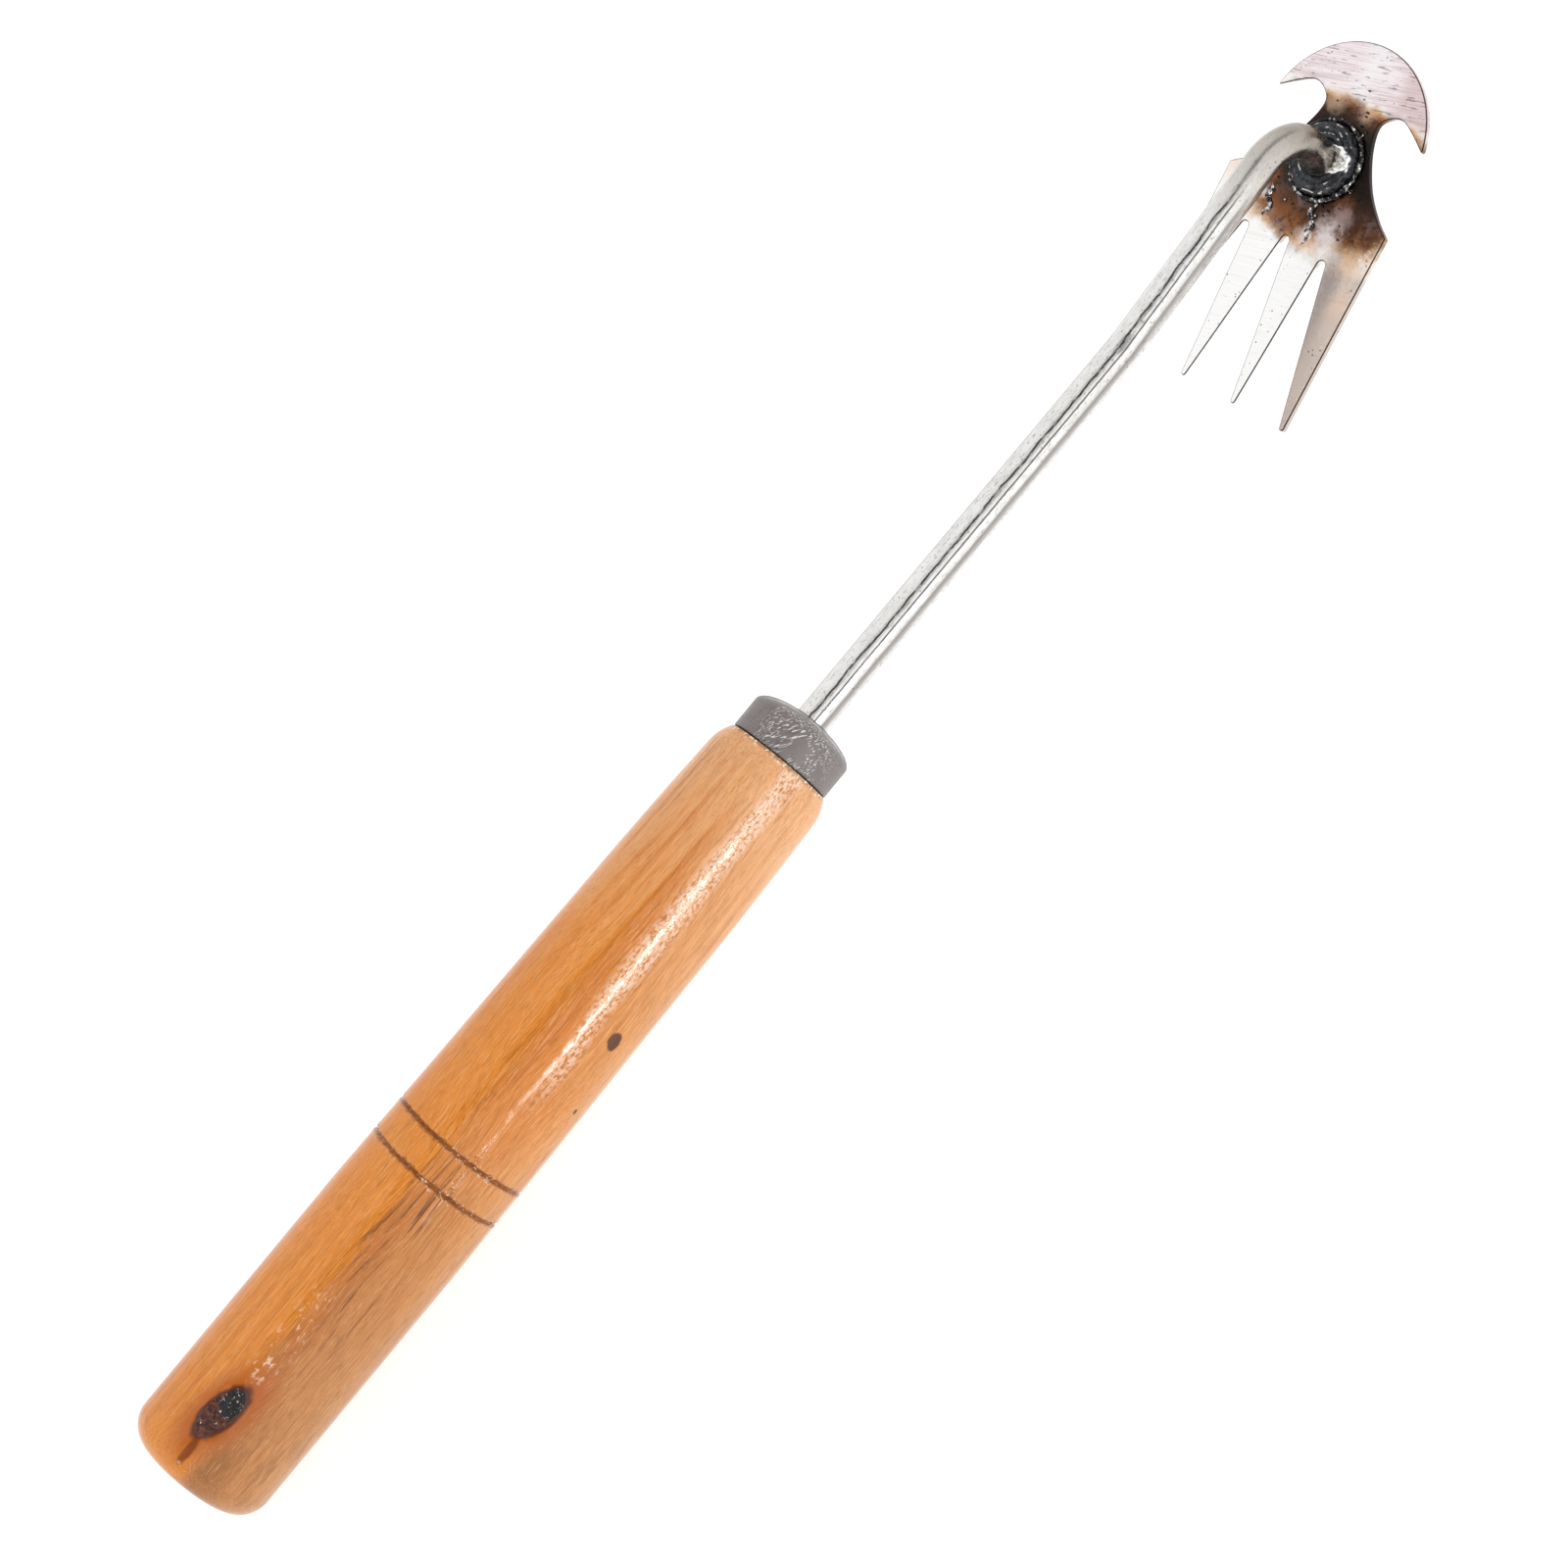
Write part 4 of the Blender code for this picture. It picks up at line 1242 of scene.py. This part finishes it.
def pad_material():
    s = Shader("blackened_weld_metal", metallic=1.0, roughness=0.32)
    cloud = s.noise((0.8, 0.8, 0.8), detail=5.0, roughness=0.65)
    s.colour = s.ramp(
        cloud,
        [(0.35, (0.022, 0.024, 0.027)), (0.6, (0.075, 0.078, 0.085)), (0.8, (0.20, 0.19, 0.19))],
    )
    red_specks = s.remap(s.cells((1.9, 1.9, 1.9)), 0.26, 0.14)
    s.paint_where(s.reach((4.4, 4.2, 2.0)), 2.4, 1.2, 0.8, (0.36, 0.13, 0.09), red_specks)
    # Painted highlights: bright broken rings on the crests where one layer of bead ends on the one below
    # it
    from_axis = s.vector("LENGTH", s.vector("MULTIPLY", s.mm, (1.0, 1.0, 0.0)))
    ring_place = s.plus(from_axis, s.swing(s.noise((0.25, 0.25, 0.25), detail=3.0), 1.6))
    patchy = s.remap(s.noise((0.55, 0.55, 0.55), detail=4.0), 0.52, 0.60)
    for crest in (6.55, 5.5, 4.5):
        s.paint_where(s.gap(ring_place, crest), 0.16, 0.05, 0.85, (0.85, 0.84, 0.83), patchy)
    s.set("Base Color", s.colour)
    s.set("Roughness", s.remap(cloud, 0.35, 0.7, 0.22, 0.42))
    s.set("Normal", s.bump(cloud, 0.22, 0.9))
    return s.material


def adhesive_material():
    s = Shader("set_adhesive", roughness=0.45)
    cloud = s.noise((0.6, 0.6, 0.6), detail=3.0)
    s.set("Base Color", s.ramp(cloud, [(0.3, (0.50, 0.40, 0.22)), (0.7, (0.60, 0.50, 0.30))]))
    s.set("Normal", s.bump(cloud, 0.05, 0.5))
    return s.material


# ---------------------------------------------------------------- camera, floor and light
CAMERA_PLACE = Vector((120.749, -377.13, 487.419))
CAMERA_DIRECTION = Vector((0.06605, 0.60644, -0.79238))
CAMERA_UP = Vector((0.76848, 0.4756, 0.42805))
LENS_MM = 80.06
SENSOR_MM = 36.0
# Softbox place, aim and size, in metres
SOFTBOX_PLACE = Vector((-0.030, -0.80, 0.338))
SOFTBOX_AIM = Vector((-0.030, 0.0, 0.02))
SOFTBOX_SIZE = (0.155, 0.095)
SOFTBOX_WATTS = 0.97
# Degrees round the tool from the camera's side, and how bright the tent is there
TENT_STOPS = (
    (-180, 1.0),
    (-60, 1.0),
    (-40, 0.95),
    (-31, 0.25),
    (-20, 0.25),
    (-13, 1.1),
    (30, 1.1),
    (120, 1.08),
    (180, 1.0),
)


def add_camera():
    """The camera is placed on the tool's own axes, in millimetres."""
    data = bpy.data.cameras.new("camera")
    data.lens = LENS_MM
    data.sensor_width = SENSOR_MM
    data.clip_start = 0.01
    camera = bpy.data.objects.new("camera", data)
    bpy.context.scene.collection.objects.link(camera)
    back = -CAMERA_DIRECTION.normalized()
    right = CAMERA_UP.cross(back).normalized()
    camera.matrix_world = TOOL @ axes_matrix(CAMERA_PLACE * MM, right, back)
    bpy.context.scene.camera = camera


def add_floor():
    s = Shader("pale_floor", roughness=0.9)
    s.set("Base Color", (0.45, 0.45, 0.45))
    s.set("Specular IOR Level", 0.1)
    s.set("Emission Color", (1.0, 1.0, 1.0))
    s.set("Emission Strength", 0.76)
    bm = bmesh.new()
    bmesh.ops.create_grid(bm, x_segments=1, y_segments=1, size=3.0)
    mesh = bpy.data.meshes.new("floor")
    bm.to_mesh(mesh)
    bm.free()
    mesh.materials.append(s.material)
    floor = bpy.data.objects.new("floor", mesh)
    bpy.context.scene.collection.objects.link(floor)


def add_world():
    """A white tent with one dark slot that runs the length of the tool, as drawn metal shows it."""
    world = bpy.data.worlds.new("tent")
    world.use_nodes = True
    bpy.context.scene.world = world
    tree = world.node_tree
    tree.nodes.clear()
    along = TOOL.to_3x3() @ Vector((1.0, 0.0, 0.0))
    looking = TOOL.to_3x3() @ CAMERA_DIRECTION
    facing = (-looking + along * looking.dot(along)).normalized()
    lower = facing.cross(along).normalized()
    if lower.z > 0:
        lower = -lower
    seen = add_node(tree, "ShaderNodeTexCoord")
    parts = []
    for direction in (lower, facing):
        dot = add_node(tree, "ShaderNodeVectorMath", operation="DOT_PRODUCT")
        tree.links.new(seen.outputs["Generated"], dot.inputs[0])
        dot.inputs[1].default_value = direction
        parts.append(dot.outputs["Value"])
    turn = add_node(tree, "ShaderNodeMath", operation="ARCTAN2")
    tree.links.new(parts[0], turn.inputs[0])
    tree.links.new(parts[1], turn.inputs[1])
    share = add_node(tree, "ShaderNodeMapRange")
    tree.links.new(turn.outputs[0], share.inputs["Value"])
    share.inputs["From Min"].default_value = -math.pi
    share.inputs["From Max"].default_value = math.pi
    ramp = add_node(tree, "ShaderNodeValToRGB")
    tree.links.new(share.outputs[0], ramp.inputs[0])
    fill_ramp(ramp, [((degrees + 180) / 360, (level, level, level)) for degrees, level in TENT_STOPS])
    background = add_node(tree, "ShaderNodeBackground")
    tree.links.new(ramp.outputs[0], background.inputs["Color"])
    background.inputs["Strength"].default_value = 1.0
    output = add_node(tree, "ShaderNodeOutputWorld")
    tree.links.new(background.outputs[0], output.inputs[0])


def add_softbox():
    """A small softbox in front of the tool, for the long highlight on the varnish."""
    data = bpy.data.lights.new("strip_softbox", "AREA")
    data.shape = "RECTANGLE"
    data.size, data.size_y = SOFTBOX_SIZE
    data.energy = SOFTBOX_WATTS
    light = bpy.data.objects.new("strip_softbox", data)
    bpy.context.scene.collection.objects.link(light)
    out = (SOFTBOX_PLACE - SOFTBOX_AIM).normalized()
    light.matrix_world = axes_matrix(SOFTBOX_PLACE, Vector((1.0, 0.0, 0.0)), out)


# ---------------------------------------------------------------- the whole scene
def main():
    add_camera()
    add_floor()
    add_world()
    add_softbox()
    bpy.context.scene.view_settings.view_transform = "Standard"
    lip = math.radians(LIP_DEGREES)
    lip_way = (math.cos(lip), math.sin(lip), 0.0)
    bright = weld_material(
        "bright_weld_metal", (0.045, 0.040, 0.038), (0.95, 0.94, 0.93), 0.20, 0.16, 0.34, lip_way
    )
    bead = weld_material("dark_weld_bead", (0.022, 0.020, 0.020), (0.90, 0.88, 0.87), 0.24, 0.18, 0.51)
    run = weld_material("scaly_weld_run", (0.030, 0.026, 0.026), (0.94, 0.92, 0.91), 0.22, 0.18, 0.44)
    build_handle(wood_material())
    build_ferrule(ferrule_material())
    build_rod(rod_material())
    build_blade(blade_material())
    build_pad(pad_material())
    build_pad_bead(bead)
    build_rod_bead(bright)
    build_run("centre_weld_bead", CENTRE_RUN, 0.55, ["centre_weld_run"], run, 0.6)
    build_run("side_weld_bead", SIDE_RUN, 0.50, ["side_weld_run"], run, 2.1)
    build_spatter(bead)
    adhesive = frame["nodes"]["tang_adhesive"]
    adhesive.data.materials.clear()
    adhesive.data.materials.append(adhesive_material())


main()
